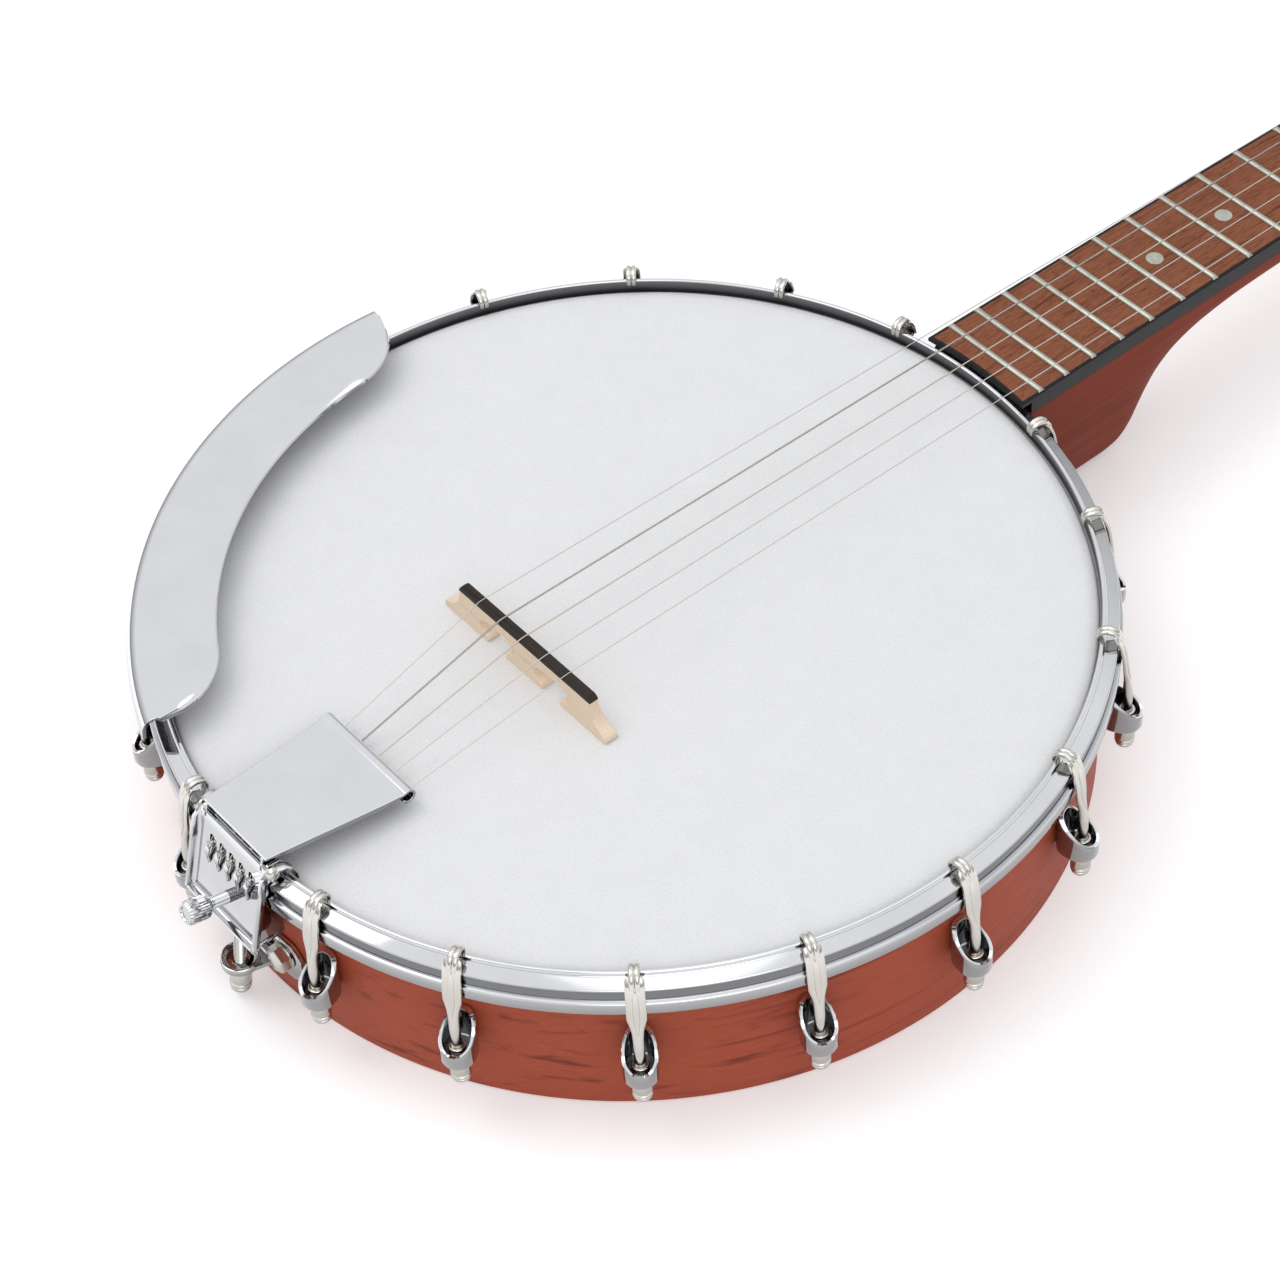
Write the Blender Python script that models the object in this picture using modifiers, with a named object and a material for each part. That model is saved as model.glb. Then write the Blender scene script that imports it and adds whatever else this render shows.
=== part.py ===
"""An open-back five-string banjo, modelled piece by piece.

All sizes below are in millimetres and become metres when a mesh is made. The pot stands on its back,
with its axis upright: X runs along the neck towards the headstock, Y towards the fifth string and Z
up out of the head. Pot coordinates have their origin on the pot's axis, at the back of the rim.
"""
import bpy
import bmesh
from math import atan2, cos, pi, radians, sin, sqrt
from mathutils import Matrix, Vector

MM = 0.001
GAP = 0.3

# Pot
RING_STEPS = 72
RIM_RADIUS = 139.7
RIM_WALL = 12.0
RIM_TOP = 50.4
HOOP_TOP = 60.0
HOOP_INNER = 138.5
HOOP_OUTER = 145.0
HOOP_BOTTOM = 48.3
HEAD_TOP = 56.6
HEAD_THICKNESS = 0.5
HOLE_CLEARANCE = 0.4

# Bracket stations: angles from the neck, round the pot
STATION_ANGLES = (12.7, 30, 50, 70, 90, 110, 130, 150, 169.5,
                  -167, -149.2, -129.2, -109.6, -89.7, -69.4, -49.4, -29.6, -12.7)
# The hook's middle line as radius, height and half width, from inside the hoop, over it and down
HOOK_LINE = ((137.7, 58.9, 1.5), (137.7, 60.7, 1.6), (138.6, 61.9, 1.6), (140.6, 62.4, 1.6),
             (142.5, 61.8, 1.6), (143.5, 60.6, 1.7), (143.8, 60.0, 2.7), (144.75, 57.4, 2.8),
             (145.8, 52.5, 2.8), (146.3, 47.5, 2.8), (146.8, 43.5, 1.9), (147.3, 38.0, 1.4),
             (147.4, 35.0, 1.4))
HOOK_HALF_THICKNESS = 0.6
ROD_RADIUS = 2.0
ROD_PLACE = 147.4
SHOE_BOTTOM = 23.4
SHOE_TOP = 38.2
SHOE_LIP = 29.0
SHOE_SHELF = 26.7
SHOE_FRONT = 152.4
SHOE_HALF_WIDTH = 5.1
NUT_BOTTOM = 14.5
NUT_RADIUS = 3.0
BOLT_HEIGHT = 31.0
BOLT_RADIUS = 2.5

# Neck
SCALE_LENGTH = 666.75
BRIDGE_X = -38.3
NUT_X = BRIDGE_X + SCALE_LENGTH
FRETS = 22
FIFTH_FRET_X = BRIDGE_X + SCALE_LENGTH * 2 ** (-5 / 12)
BOARD_START = 134.0
BOARD_THICKNESS = 6.0
BOARD_HALF_WIDTH = 21.0
BOARD_DATUM_X = 165.0
BOARD_DATUM_TOP = 60.4
BOARD_SLOPE = -0.015
EDGE_TAPER = 0.0058
BINDING = 1.2
HOOP_CLEAR_RADIUS = 145.6
BOARD_LIP_RADIUS = 141.4
BOARD_LIP_BOTTOM = 59.2
FRET_HEIGHT = 0.9
FRET_WIDTH = 2.0
SHOULDER_START = FIFTH_FRET_X + 16
SHOULDER_END = FIFTH_FRET_X + 48
FOUR_STRING_HALF = 13.5
HEEL_END = 198.0

# Headstock, measured in its own frame: X along it from the nut, Z out of its face
HEADSTOCK_X = 633.5
HEADSTOCK_Z = 46.8
HEADSTOCK_Y = -2.4
HEADSTOCK_TILT = 8.0
HEADSTOCK_LENGTH = 148.0
HEADSTOCK_THICKNESS = 13.0

# Tuners: (place along the headstock, distance from its middle, side)
TUNERS = ((45.0, 17.0, 1), (98.0, 13.0, 1), (98.0, 13.0, -1), (45.0, 17.0, -1))
POST_RADIUS = 3.0
POST_TOP = 12.0
SHAFT_DEPTH = -19.0
HOUSING_SIZE = (17.0, 15.0, 11.0)
BUTTON_REACH = 34.0
BUTTON_LENGTH = 15.0

# Fifth string's peg
FIFTH_PEG_X = FIFTH_FRET_X + 11
FIFTH_PEG_Z = 43.6
FIFTH_PEG_RADIUS = 3.0

# Strings: name, place across the bridge, place across the nut, diameter
STRINGS = (
    ("string_1", -19.7, -15.1, 0.30),
    ("string_2", -9.85, -6.6, 0.35),
    ("string_3", 0.0, 1.8, 0.45),
    ("string_4", 9.85, 10.3, 0.60),
    ("string_5", 19.7, 16.4, 0.30),
)
STRING_OVER_BRIDGE = 69.75
STRING_OVER_BOARD = 1.45

# Bridge
BRIDGE_FOOT = HEAD_TOP + GAP
BRIDGE_PLACE = (-38.6, -1.0)
BRIDGE_BASE_HEIGHT = 9.7
BRIDGE_CAP_HEIGHT = 2.2
BRIDGE_THICKNESS = 4.8
BRIDGE_CAP_HALF = 30.3

# Tailpiece
PLATE_TOP = (-142.3, 64.4)
PLATE_BOTTOM = (-150.2, 35.5)
PLATE_HALF_WIDTH = 16.2
CHEEK_PLACE = 15.0
EAR_PLACE = 13.3
SHEET = 1.2
PIVOT = (-141.5, 62.5)
PIVOT_RADIUS = 1.0
COVER_REAR = (-142.2, 66.8)
COVER_FRONT = (-97.4, 62.9)
COVER_REAR_HALF = 14.9
COVER_FRONT_HALF = 19.2
LIP_PLACE = (-96.6, 61.9)
LIP_RADIUS = 2.4
SCREW_HEIGHT = 42.5
SCREW_RADIUS = 1.9
SCREW_HEAD_RADIUS = 4.1
SCREW_HEAD_START = 6.6
SCREW_HEAD_END = 14.8
TAIL_BOLT_TOP = (-145.3, 36.0)
TAIL_BOLT_END = (-150.4, 2.4)
HANGER_SHELF = 14.5
HANGER_SCREW_Y = 13.0
HANGER_SCREW_Z = 22.0

# Armrest
ARMREST_MIDDLE = 122.1
ARMREST_HALF_SPAN = 38.1
ARMREST_INNER = 121.6
ARMREST_TOP = 67.0

# The overall box: the thumbscrew's end to the headstock's tip, centred on the origin
TAIL_END = -163.644
TIP_END = HEADSTOCK_X + HEADSTOCK_LENGTH * cos(radians(HEADSTOCK_TILT))
POT_X = -(TAIL_END + TIP_END) / 2

PARTS = "banjo"
CUTTERS = "banjo_cutters"


# ------------------------------------------------------------------ helpers
def clear_scene():
    for obj in list(bpy.data.objects):
        bpy.data.objects.remove(obj, do_unlink=True)
    for name in (PARTS, CUTTERS):
        bpy.context.scene.collection.children.link(bpy.data.collections.new(name))


def surface(name, colour, roughness, metallic=0.0):
    material = bpy.data.materials.new(name)
    material.use_nodes = True
    shader = material.node_tree.nodes["Principled BSDF"]
    shader.inputs["Base Color"].default_value = (*colour, 1.0)
    shader.inputs["Roughness"].default_value = roughness
    shader.inputs["Metallic"].default_value = metallic
    material.diffuse_color = (*colour, 1.0)
    return material


def empty(name, location, parent=None, rotation=(0.0, 0.0, 0.0)):
    frame = bpy.data.objects.new(name, None)
    frame.location = Vector(location) * MM
    frame.rotation_euler = rotation
    frame.parent = parent
    bpy.data.collections[PARTS].objects.link(frame)
    return frame


def add_box(bm, low, high):
    low = Vector(low) * MM
    high = Vector(high) * MM
    matrix = Matrix.Translation((low + high) / 2) @ Matrix.Diagonal((*(high - low), 1.0))
    bmesh.ops.create_cube(bm, size=1.0, matrix=matrix)


def add_rod(bm, start, end, radius, sides=12, end_radius=None):
    start = Vector(start) * MM
    end = Vector(end) * MM
    axis = end - start
    matrix = Matrix.Translation((start + end) / 2) @ axis.to_track_quat("Z", "Y").to_matrix().to_4x4()
    bmesh.ops.create_cone(bm, cap_ends=True, cap_tris=False, segments=sides, radius1=radius * MM,
                          radius2=(radius if end_radius is None else end_radius) * MM,
                          depth=axis.length, matrix=matrix)


def solid(name, bm, smooth=True):
    bmesh.ops.recalc_face_normals(bm, faces=bm.faces)
    mesh = bpy.data.meshes.new(name)
    bm.to_mesh(mesh)
    bm.free()
    if smooth:
        mesh.shade_smooth()
        mesh.set_sharp_from_angle(angle=radians(35))
    return mesh


def box_mesh(name, low, high):
    bm = bmesh.new()
    add_box(bm, low, high)
    return solid(name, bm, smooth=False)


def rod_mesh(name, start, end, radius, sides=12, end_radius=None):
    bm = bmesh.new()
    add_rod(bm, start, end, radius, sides, end_radius)
    return solid(name, bm)


def evaluated_mesh(name, obj):
    """The object's mesh as its modifiers or its curve make it, with the caps welded; the object goes."""
    bpy.context.view_layer.update()
    source = obj.evaluated_get(bpy.context.evaluated_depsgraph_get())
    mesh = bpy.data.meshes.new_from_object(source)
    mesh.name = name
    mesh.transform(obj.matrix_world)
    bpy.data.objects.remove(obj, do_unlink=True)
    bm = bmesh.new()
    bm.from_mesh(mesh)
    bmesh.ops.remove_doubles(bm, verts=bm.verts, dist=1e-6)
    bmesh.ops.recalc_face_normals(bm, faces=bm.faces)
    bm.to_mesh(mesh)
    bm.free()
    return mesh


def outline_mesh(name, outline, thickness, turn=None):
    """A flat closed outline given thickness about its own plane, then turned."""
    curve = bpy.data.curves.new(name, "CURVE")
    curve.dimensions = "2D"
    curve.fill_mode = "BOTH"
    curve.extrude = thickness * MM / 2
    spline = curve.splines.new("POLY")
    spline.points.add(len(outline) - 1)
    for point, (x, y) in zip(spline.points, outline):
        point.co = (x * MM, y * MM, 0.0, 1.0)
    spline.use_cyclic_u = True
    helper = bpy.data.objects.new(name, curve)
    bpy.context.scene.collection.objects.link(helper)
    mesh = evaluated_mesh(name, helper)
    mesh.transform(turn or Matrix.Identity(4))
    return mesh


# An outline in XY becomes one in XZ, or one in YZ.
SIDE_VIEW = Matrix.Rotation(pi / 2, 4, "X")
FRONT_VIEW = Matrix.Rotation(pi / 2, 4, "Z") @ Matrix.Rotation(pi / 2, 4, "X")


def moved(mesh, offset):
    mesh.transform(Matrix.Translation(Vector(offset) * MM))
    return mesh


def tube_mesh(name, points, radius):
    curve = bpy.data.curves.new(name, "CURVE")
    curve.dimensions = "3D"
    curve.bevel_depth = radius * MM
    curve.bevel_resolution = 1
    curve.use_fill_caps = True
    spline = curve.splines.new("POLY")
    spline.points.add(len(points) - 1)
    for point, place in zip(spline.points, points):
        point.co = (*(Vector(place) * MM), 1.0)
    helper = bpy.data.objects.new(name, curve)
    bpy.context.scene.collection.objects.link(helper)
    return evaluated_mesh(name, helper)


def profile_mesh(name, profile, closed):
    """A profile at +X that runs down its outer side, as edges for a Screw modifier."""
    bm = bmesh.new()
    corners = [bm.verts.new((r * MM, 0.0, z * MM)) for r, z in profile]
    for first, second in zip(corners, corners[1:]):
        bm.edges.new((first, second))
    if closed:
        bm.edges.new((corners[-1], corners[0]))
    mesh = bpy.data.meshes.new(name)
    bm.to_mesh(mesh)
    bm.free()
    return mesh


def part(name, mesh, material, parent, location=(0.0, 0.0, 0.0), rotation=(0.0, 0.0, 0.0)):
    obj = bpy.data.objects.new(name, mesh)
    if material and not mesh.materials:
        mesh.materials.append(material)
    obj.parent = parent
    obj.location = Vector(location) * MM
    obj.rotation_euler = rotation
    bpy.data.collections[PARTS].objects.link(obj)
    return obj


def turned(name, profile, material, parent, closed=True, steps=RING_STEPS):
    obj = part(name, profile_mesh(name, profile, closed), material, parent)
    screw = obj.modifiers.new("Turn", "SCREW")
    screw.angle = 2 * pi
    screw.steps = steps
    screw.render_steps = steps
    screw.use_merge_vertices = True
    screw.merge_threshold = 0.00001
    screw.use_smooth_shade = True
    return obj


def operand(name, mesh, parent, location=(0.0, 0.0, 0.0)):
    """A cutter, or a shape to be joined: hidden in renders and drawn as wire."""
    obj = bpy.data.objects.new(name, mesh)
    obj.parent = parent
    obj.location = Vector(location) * MM
    obj.hide_render = True
    obj.display_type = "WIRE"
    bpy.data.collections[CUTTERS].objects.link(obj)
    return obj


def combine(target, operation, name, mesh):
    """One Boolean step on the target, with an operand in the target's own frame."""
    tool = operand(name, mesh, target.parent, target.location / MM)
    tool.rotation_euler = target.rotation_euler
    step = target.modifiers.new(name, "BOOLEAN")
    step.operation = operation
    step.solver = "EXACT"
    step.object = tool


def cut(target, name, mesh):
    combine(target, "DIFFERENCE", name, mesh)


def join(target, name, mesh):
    combine(target, "UNION", name, mesh)


def arc(centre, radius, start, end, steps):
    """Points of an arc in degrees, ends included."""
    turns = [radians(start + (end - start) * i / steps) for i in range(steps + 1)]
    return [(centre[0] + radius * cos(a), centre[1] + radius * sin(a)) for a in turns]


def polar(radius, angle, z):
    return (radius * cos(radians(angle)), radius * sin(radians(angle)), z)


# ------------------------------------------------------------------ neck geometry
def board_top(x):
    return BOARD_DATUM_TOP + BOARD_SLOPE * (x - BOARD_DATUM_X)


def treble_edge(x):
    return -(BOARD_HALF_WIDTH - EDGE_TAPER * (x - BOARD_DATUM_X))


def bass_edge(x):
    """The fifth string's side steps in past the fifth fret."""
    full = -treble_edge(x)
    if x <= SHOULDER_START:
        return full
    along = min(1.0, (x - SHOULDER_START) / (SHOULDER_END - SHOULDER_START))
    return full + (FOUR_STRING_HALF - full) * (1 - cos(pi * along)) / 2


def edge_stations():
    shoulder = [SHOULDER_START + (SHOULDER_END - SHOULDER_START) * i / 6 for i in range(7)]
    return [BOARD_START, SHOULDER_START - 60] + shoulder + [NUT_X - GAP]


def board_outline(inset, start):
    stations = [start] + edge_stations()[1:]
    bass = [(x, bass_edge(x) - inset) for x in stations]
    treble = [(x, treble_edge(x) + inset) for x in stations]
    return bass[::-1] + treble


def sheared(mesh):
    """Tips a level slab so that it follows the fingerboard's slope."""
    shear = Matrix.Identity(4)
    shear[2][0] = BOARD_SLOPE
    mesh.transform(shear)
    return mesh


# ------------------------------------------------------------------ pot
def rim(frame, material):
    inner = RIM_RADIUS - RIM_WALL
    obj = turned("rim", [(RIM_RADIUS - 1, RIM_TOP), (RIM_RADIUS, RIM_TOP - 1), (RIM_RADIUS, 1),
                         (RIM_RADIUS - 1, 0), (inner + 1, 0), (inner, 1), (inner, RIM_TOP)],
                 material, frame)
    bm = bmesh.new()
    for angle in STATION_ANGLES:
        add_rod(bm, polar(inner - 4, angle, BOLT_HEIGHT), polar(RIM_RADIUS + 4, angle, BOLT_HEIGHT),
                BOLT_RADIUS + HOLE_CLEARANCE, 8)
    add_rod(bm, (inner - 4, 0, 27), (RIM_RADIUS + 4, 0, 27), 3.4)
    add_rod(bm, (-RIM_RADIUS + 2, 0, 27), (-inner + 4, 0, 27), 3.4)
    for side in (1, -1):
        y = HANGER_SCREW_Y * side
        add_rod(bm, (-RIM_RADIUS - 4, y, HANGER_SCREW_Z), (-inner + 6, y, HANGER_SCREW_Z), 2.4, 8)
    cut(obj, "rim_holes", solid("rim_holes", bm))


def tone_ring(frame, material):
    base = RIM_TOP + GAP
    turned("tone_ring", [(133.4, HEAD_TOP - 0.8), (135.6, HEAD_TOP - 1.3), (136.9, HEAD_TOP - 2.7),
                         (136.9, base), (129.5, base), (129.5, HEAD_TOP - 3.1), (131.0, HEAD_TOP - 1.4)],
           material, frame)


def head(frame, material):
    """The stretched head, its crown, and the flesh hoop that it is set in."""
    under = HEAD_TOP - HEAD_THICKNESS
    turned("head", [(0, HEAD_TOP), (135.2, HEAD_TOP), (137.2, HEAD_TOP - 0.5), (138.1, HEAD_TOP - 1.7),
                    (138.4, HEAD_TOP - 2.0), (142.5, HEAD_TOP - 2.1), (142.5, 49.7), (140.1, 49.7),
                    (140.1, HEAD_TOP - 3.0), (138.2, HEAD_TOP - 2.8), (137.5, HEAD_TOP - 2.1),
                    (136.7, under - 0.4), (135.0, under), (0, under)],
           material, frame, closed=False)


def tension_hoop(frame, material):
    turned("tension_hoop", [(HOOP_INNER, HOOP_TOP), (139.7, HOOP_TOP), (139.9, 59.0), (143.8, 57.2),
                            (143.8, 53.0), (HOOP_OUTER, 52.5), (HOOP_OUTER, HOOP_BOTTOM),
                            (142.9, HOOP_BOTTOM), (142.9, 55.0), (HOOP_INNER, 55.0)],
           material, frame)


def shoe_outline(radius, back):
    middle = SHOE_FRONT - SHOE_HALF_WIDTH
    return [(back, -radius)] + arc((middle, 0), radius, -90, 90, 8) + [(back, radius)]


def hook_strap():
    """The flat of a hook: a narrow tongue over the hoop, widening into a strap, tapering to the rod."""
    line = [Vector((x, z)) for x, z, _ in HOOK_LINE]
    bm, rows = bmesh.new(), []
    for i, (x, z, half) in enumerate(HOOK_LINE):
        way = (line[min(i + 1, len(line) - 1)] - line[max(i - 1, 0)]).normalized() * HOOK_HALF_THICKNESS
        corners = [(x - way.y, -half, z + way.x), (x - way.y, half, z + way.x),
                   (x + way.y, half, z - way.x), (x + way.y, -half, z - way.x)]
        rows.append([bm.verts.new(Vector(corner) * MM) for corner in corners])
    for first, second in zip(rows, rows[1:]):
        for i in range(4):
            bm.faces.new((first[i], first[(i + 1) % 4], second[(i + 1) % 4], second[i]))
    bm.faces.new(rows[0])
    bm.faces.new(rows[-1])
    return solid("hook_strap", bm)


def bracket_mesh(frame):
    """A hook with its round nut, and the shoe with its bolt, at angle zero."""
    back = RIM_RADIUS + GAP
    shoe = outline_mesh("shoe", shoe_outline(SHOE_HALF_WIDTH, back), SHOE_TOP - SHOE_BOTTOM)
    obj = part("bracket", moved(shoe, (0, 0, (SHOE_TOP + SHOE_BOTTOM) / 2)), None, frame)
    pocket = outline_mesh("pocket", shoe_outline(SHOE_HALF_WIDTH - 1.1, back + 2.2), 20)
    cut(obj, "shoe_pocket", moved(pocket, (0, 0, SHOE_SHELF + 10)))
    slope = [(back + 1.2, SHOE_TOP), (SHOE_FRONT + 1, SHOE_LIP), (SHOE_FRONT + 1, 50), (back - 1, 50),
             (back - 1, SHOE_TOP)]
    cut(obj, "shoe_slope", outline_mesh("shoe_slope", slope, 20, SIDE_VIEW))
    spring = SHOE_TOP - SHOE_HALF_WIDTH
    arch = arc((0, spring), SHOE_HALF_WIDTH + 0.02, 180, 0, 10)
    arch = arch + [(9, spring), (9, 50), (-9, 50), (-9, spring)]
    mesh = outline_mesh("shoe_arch", arch, 40, FRONT_VIEW)
    cut(obj, "shoe_arch", moved(mesh, (SHOE_FRONT, 0, 0)))
    join(obj, "hook_strap", hook_strap())
    join(obj, "hook_rod", rod_mesh("hook_rod", (ROD_PLACE, 0, NUT_BOTTOM + 2), (ROD_PLACE, 0, 39),
                                   ROD_RADIUS, 8))
    join(obj, "hook_nut", rod_mesh("hook_nut", (ROD_PLACE, 0, NUT_BOTTOM), (ROD_PLACE, 0, SHOE_BOTTOM + 1),
                                   NUT_RADIUS, 12))
    inner = RIM_RADIUS - RIM_WALL
    join(obj, "bolt", rod_mesh("bolt", (inner - 3.4, 0, BOLT_HEIGHT), (back + 1, 0, BOLT_HEIGHT),
                               BOLT_RADIUS, 8))
    join(obj, "bolt_head", rod_mesh("bolt_head", (inner - 3.6, 0, BOLT_HEIGHT),
                                    (inner - 0.5, 0, BOLT_HEIGHT), 4.6, 6))
    saved = frame.location.copy()
    frame.location = (0, 0, 0)
    mesh = evaluated_mesh("bracket", obj)
    frame.location = saved
    for name in ("shoe_pocket", "shoe_slope", "shoe_arch", "hook_strap", "hook_rod", "hook_nut", "bolt",
                 "bolt_head"):
        bpy.data.objects.remove(bpy.data.objects[name], do_unlink=True)
    return mesh


def brackets(frame, material):
    mesh = bracket_mesh(frame)
    for number, angle in enumerate(STATION_ANGLES, 1):
        part(f"bracket_{number:02d}", mesh, material, frame, rotation=(0, 0, radians(angle)))


def armrest(frame, material):
    """A curved sheet over the hoop with a turned-down wall, on two clamp straps."""
    columns, bm = 26, bmesh.new()
    rows = []
    for i in range(columns + 1):
        along = -1 + 2 * i / columns
        angle = ARMREST_MIDDLE + ARMREST_HALF_SPAN * along
        rounding = max(0.0, (abs(along) - 0.74) / 0.26)
        inner = ARMREST_INNER + 20.5 * (1 - sqrt(max(0.0, 1 - rounding ** 2)))
        section = [(inner, ARMREST_TOP - 0.6), (inner + 0.35 * (143.6 - inner), ARMREST_TOP),
                   (143.6, ARMREST_TOP), (146.6, ARMREST_TOP - 1.4), (147.9, ARMREST_TOP - 4.0),
                   (147.9, HOOP_TOP + 0.4)]
        rows.append([bm.verts.new(Vector(polar(r, angle, z)) * MM) for r, z in section])
    for first, second in zip(rows, rows[1:]):
        for i in range(len(first) - 1):
            bm.faces.new((first[i], first[i + 1], second[i + 1], second[i]))
    obj = part("armrest", solid("armrest", bm), material, frame)
    thicken = obj.modifiers.new("Sheet", "SOLIDIFY")
    thicken.thickness = SHEET * MM
    thicken.offset = 0
    for number, angle in enumerate((100, 140), 1):
        strap = [(140.2, 45.4), (146.9, 45.4), (146.9, ARMREST_TOP - 1), (145.3, ARMREST_TOP - 1),
                 (145.3, 46.9), (140.2, 46.9)]
        mesh = outline_mesh(f"armrest_strap_{number}", strap, 9, SIDE_VIEW)
        mesh.transform(Matrix.Rotation(radians(angle), 4, "Z"))
        join(obj, f"armrest_strap_{number}", mesh)


def coordinator(frame, steel):
    inner = RIM_RADIUS - RIM_WALL
    obj = part("coordinator_rod", rod_mesh("coordinator_rod", (-inner + GAP, 0, 27), (118, 0, 27), 4.76),
               steel, frame)
    join(obj, "rod_tail", rod_mesh("rod_tail", (-inner - 8, 0, 27), (-inner + 2, 0, 27), 3.0))
    bolt = part("neck_bolt", rod_mesh("neck_bolt", (118.4, 0, 27), (182, 0, 27), 3.0), steel, frame)
    join(bolt, "neck_bolt_nut", rod_mesh("neck_bolt_nut", (121, 0, 27), (inner - 0.6, 0, 27), 7.5, 6))


# ------------------------------------------------------------------ neck
def neck_section(x, half_left, half_right, top, bottom, heel):
    """Half-outlines of a round shaft and of a flat-footed heel, blended, from bass edge to treble edge."""
    steps = 8
    points = []
    for side, half in ((1, half_left), (-1, half_right)):
        row = []
        for i in range(steps + 1):
            turn = pi / 2 * i / steps
            shaft = (cos(turn) ** 0.9, sin(turn) ** 0.85)
            level = min(1.0, i / (steps - 2))
            foot = 12 / half
            reach = 1 - (1 - foot) * level ** 1.6
            if i > steps - 2:
                reach = foot * (steps - i) / 2
            y = half * ((1 - heel) * shaft[0] + heel * reach)
            depth = (1 - heel) * shaft[1] + heel * level
            row.append((x, side * y, top - (top - bottom) * depth))
        points.append(row)
    return points[0] + points[1][-2::-1]


def neck_stations():
    """Along X: the back's height under the middle, and how much of a heel the section is."""
    stations = [(134, 0.5, 1.0), (186, 0.5, 1.0), (193, 1.5, 1.0), (198, 6, 0.97), (201, 12, 0.92),
                (206, 20.5, 0.82), (214, 28.3, 0.6), (226, 34, 0.35), (242, 37.4, 0.12), (262, 38.4, 0.0)]
    end_back = board_top(NUT_X) - 19.5
    for i in range(1, 5):
        x = 262 + (SHOULDER_START - 262) * i / 4
        stations.append((x, 38.4 + (end_back - 38.4) * (x - 262) / (NUT_X - 262), 0.0))
    for i in range(1, 7):
        x = SHOULDER_START + (SHOULDER_END - SHOULDER_START) * i / 6
        stations.append((x, 38.4 + (end_back - 38.4) * (x - 262) / (NUT_X - 262), 0.0))
    stations.append((NUT_X - 30, end_back, 0.0))
    stations.append((NUT_X + 4.4, end_back, 0.0))
    return stations


def neck_mesh():
    bm = bmesh.new()
    rings = []
    for x, back, heel in neck_stations():
        top = board_top(x) - BOARD_THICKNESS - GAP
        if x > NUT_X - 10:
            top = board_top(NUT_X) - BOARD_THICKNESS - GAP
        ring = neck_section(x, bass_edge(x), -treble_edge(x), top, back, heel)
        rings.append([bm.verts.new(Vector(place) * MM) for place in ring])
    for first, second in zip(rings, rings[1:]):
        for i in range(len(first)):
            j = (i + 1) % len(first)
            bm.faces.new((first[i], first[j], second[j], second[i]))
    bm.faces.new(rings[0])
    bm.faces.new(rings[-1])
    return solid("neck", bm)


def headstock_outline():
    half = [(-3, 15.7), (4, 16.2), (16, 22), (28, 28.5), (42, 31.5), (62, 31), (84, 29), (108, 27.5),
            (124, 26), (134, 21.5), (140, 14), (HEADSTOCK_LENGTH, 0)]
    return half + [(x, -y) for x, y in reversed(half[:-1])]


def neck(frame, headstock, material):
    obj = part("neck", neck_mesh(), material, frame)
    blade = outline_mesh("headstock", headstock_outline(), HEADSTOCK_THICKNESS)
    moved(blade, (0, 0, -HEADSTOCK_THICKNESS / 2))
    blade.transform(headstock.matrix_local)
    join(obj, "headstock_blade", blade)
    cut(obj, "rim_seat", rod_mesh("rim_seat", (0, 0, -10), (0, 0, 90), RIM_RADIUS + 0.35, RING_STEPS * 2))
    cut(obj, "hoop_seat", rod_mesh("hoop_seat", (0, 0, HOOP_BOTTOM - 0.6), (0, 0, 90), HOOP_CLEAR_RADIUS,
                                   RING_STEPS * 2))
    rod_top = board_top(BOARD_DATUM_X) - BOARD_THICKNESS - BOARD_SLOPE * BOARD_DATUM_X
    cut(obj, "truss_channel", sheared(box_mesh("truss_channel", (212, -3.6, rod_top - 8.6),
                                               (NUT_X + 22, 3.6, rod_top + 4))))
    bm = bmesh.new()
    add_rod(bm, (130, 0, 27), (184, 0, 27), 3.4)
    add_rod(bm, (FIFTH_PEG_X, 11, FIFTH_PEG_Z), (FIFTH_PEG_X, 40, FIFTH_PEG_Z), FIFTH_PEG_RADIUS + 0.4)
    cut(obj, "neck_holes", solid("neck_holes", bm))
    bm = bmesh.new()
    for along, aside, side in TUNERS:
        add_rod(bm, (along, aside * side, -20), (along, aside * side, 6), POST_RADIUS + 0.5)
    posts = solid("post_holes", bm)
    posts.transform(headstock.matrix_local)
    cut(obj, "post_holes", posts)


def clear_hoop(target, name, margin, undercut_top):
    """Cut the pot's end so that a thin lip reaches over the hoop and the rest stands clear of it."""
    steps = RING_STEPS * 2
    undercut = rod_mesh("undercut", (0, 0, 30), (0, 0, undercut_top), HOOP_CLEAR_RADIUS + margin, steps)
    cut(target, name + "_undercut", undercut)
    end = rod_mesh("end", (0, 0, undercut_top - 2), (0, 0, 90), BOARD_LIP_RADIUS + margin, steps)
    cut(target, name + "_end", end)


def fingerboard(frame, material):
    """The board with its frets, and the fifth string's pip, standing in it."""
    top = board_top(0)
    board = outline_mesh("fingerboard", board_outline(BINDING + GAP, BOARD_START), BOARD_THICKNESS)
    obj = part("fingerboard", sheared(moved(board, (0, 0, top - BOARD_THICKNESS / 2))), material, frame)
    clear_hoop(obj, "board", BINDING + GAP, BOARD_LIP_BOTTOM)
    bm = bmesh.new()
    for number in range(1, FRETS + 1):
        x = BRIDGE_X + SCALE_LENGTH * 2 ** (-number / 12)
        low = (x - FRET_WIDTH / 2, treble_edge(x) + BINDING + 2 * GAP, board_top(x) - 1.5)
        high = (x + FRET_WIDTH / 2, bass_edge(x) - BINDING - 2 * GAP, board_top(x) + FRET_HEIGHT)
        add_box(bm, low, high)
    pip = (FIFTH_FRET_X - 5, STRINGS[4][2])
    add_rod(bm, (*pip, board_top(pip[0]) - 2), (*pip, board_top(pip[0]) + 1.0), 1.3, 8)
    join(obj, "frets", solid("frets", bm, smooth=False))


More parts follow.
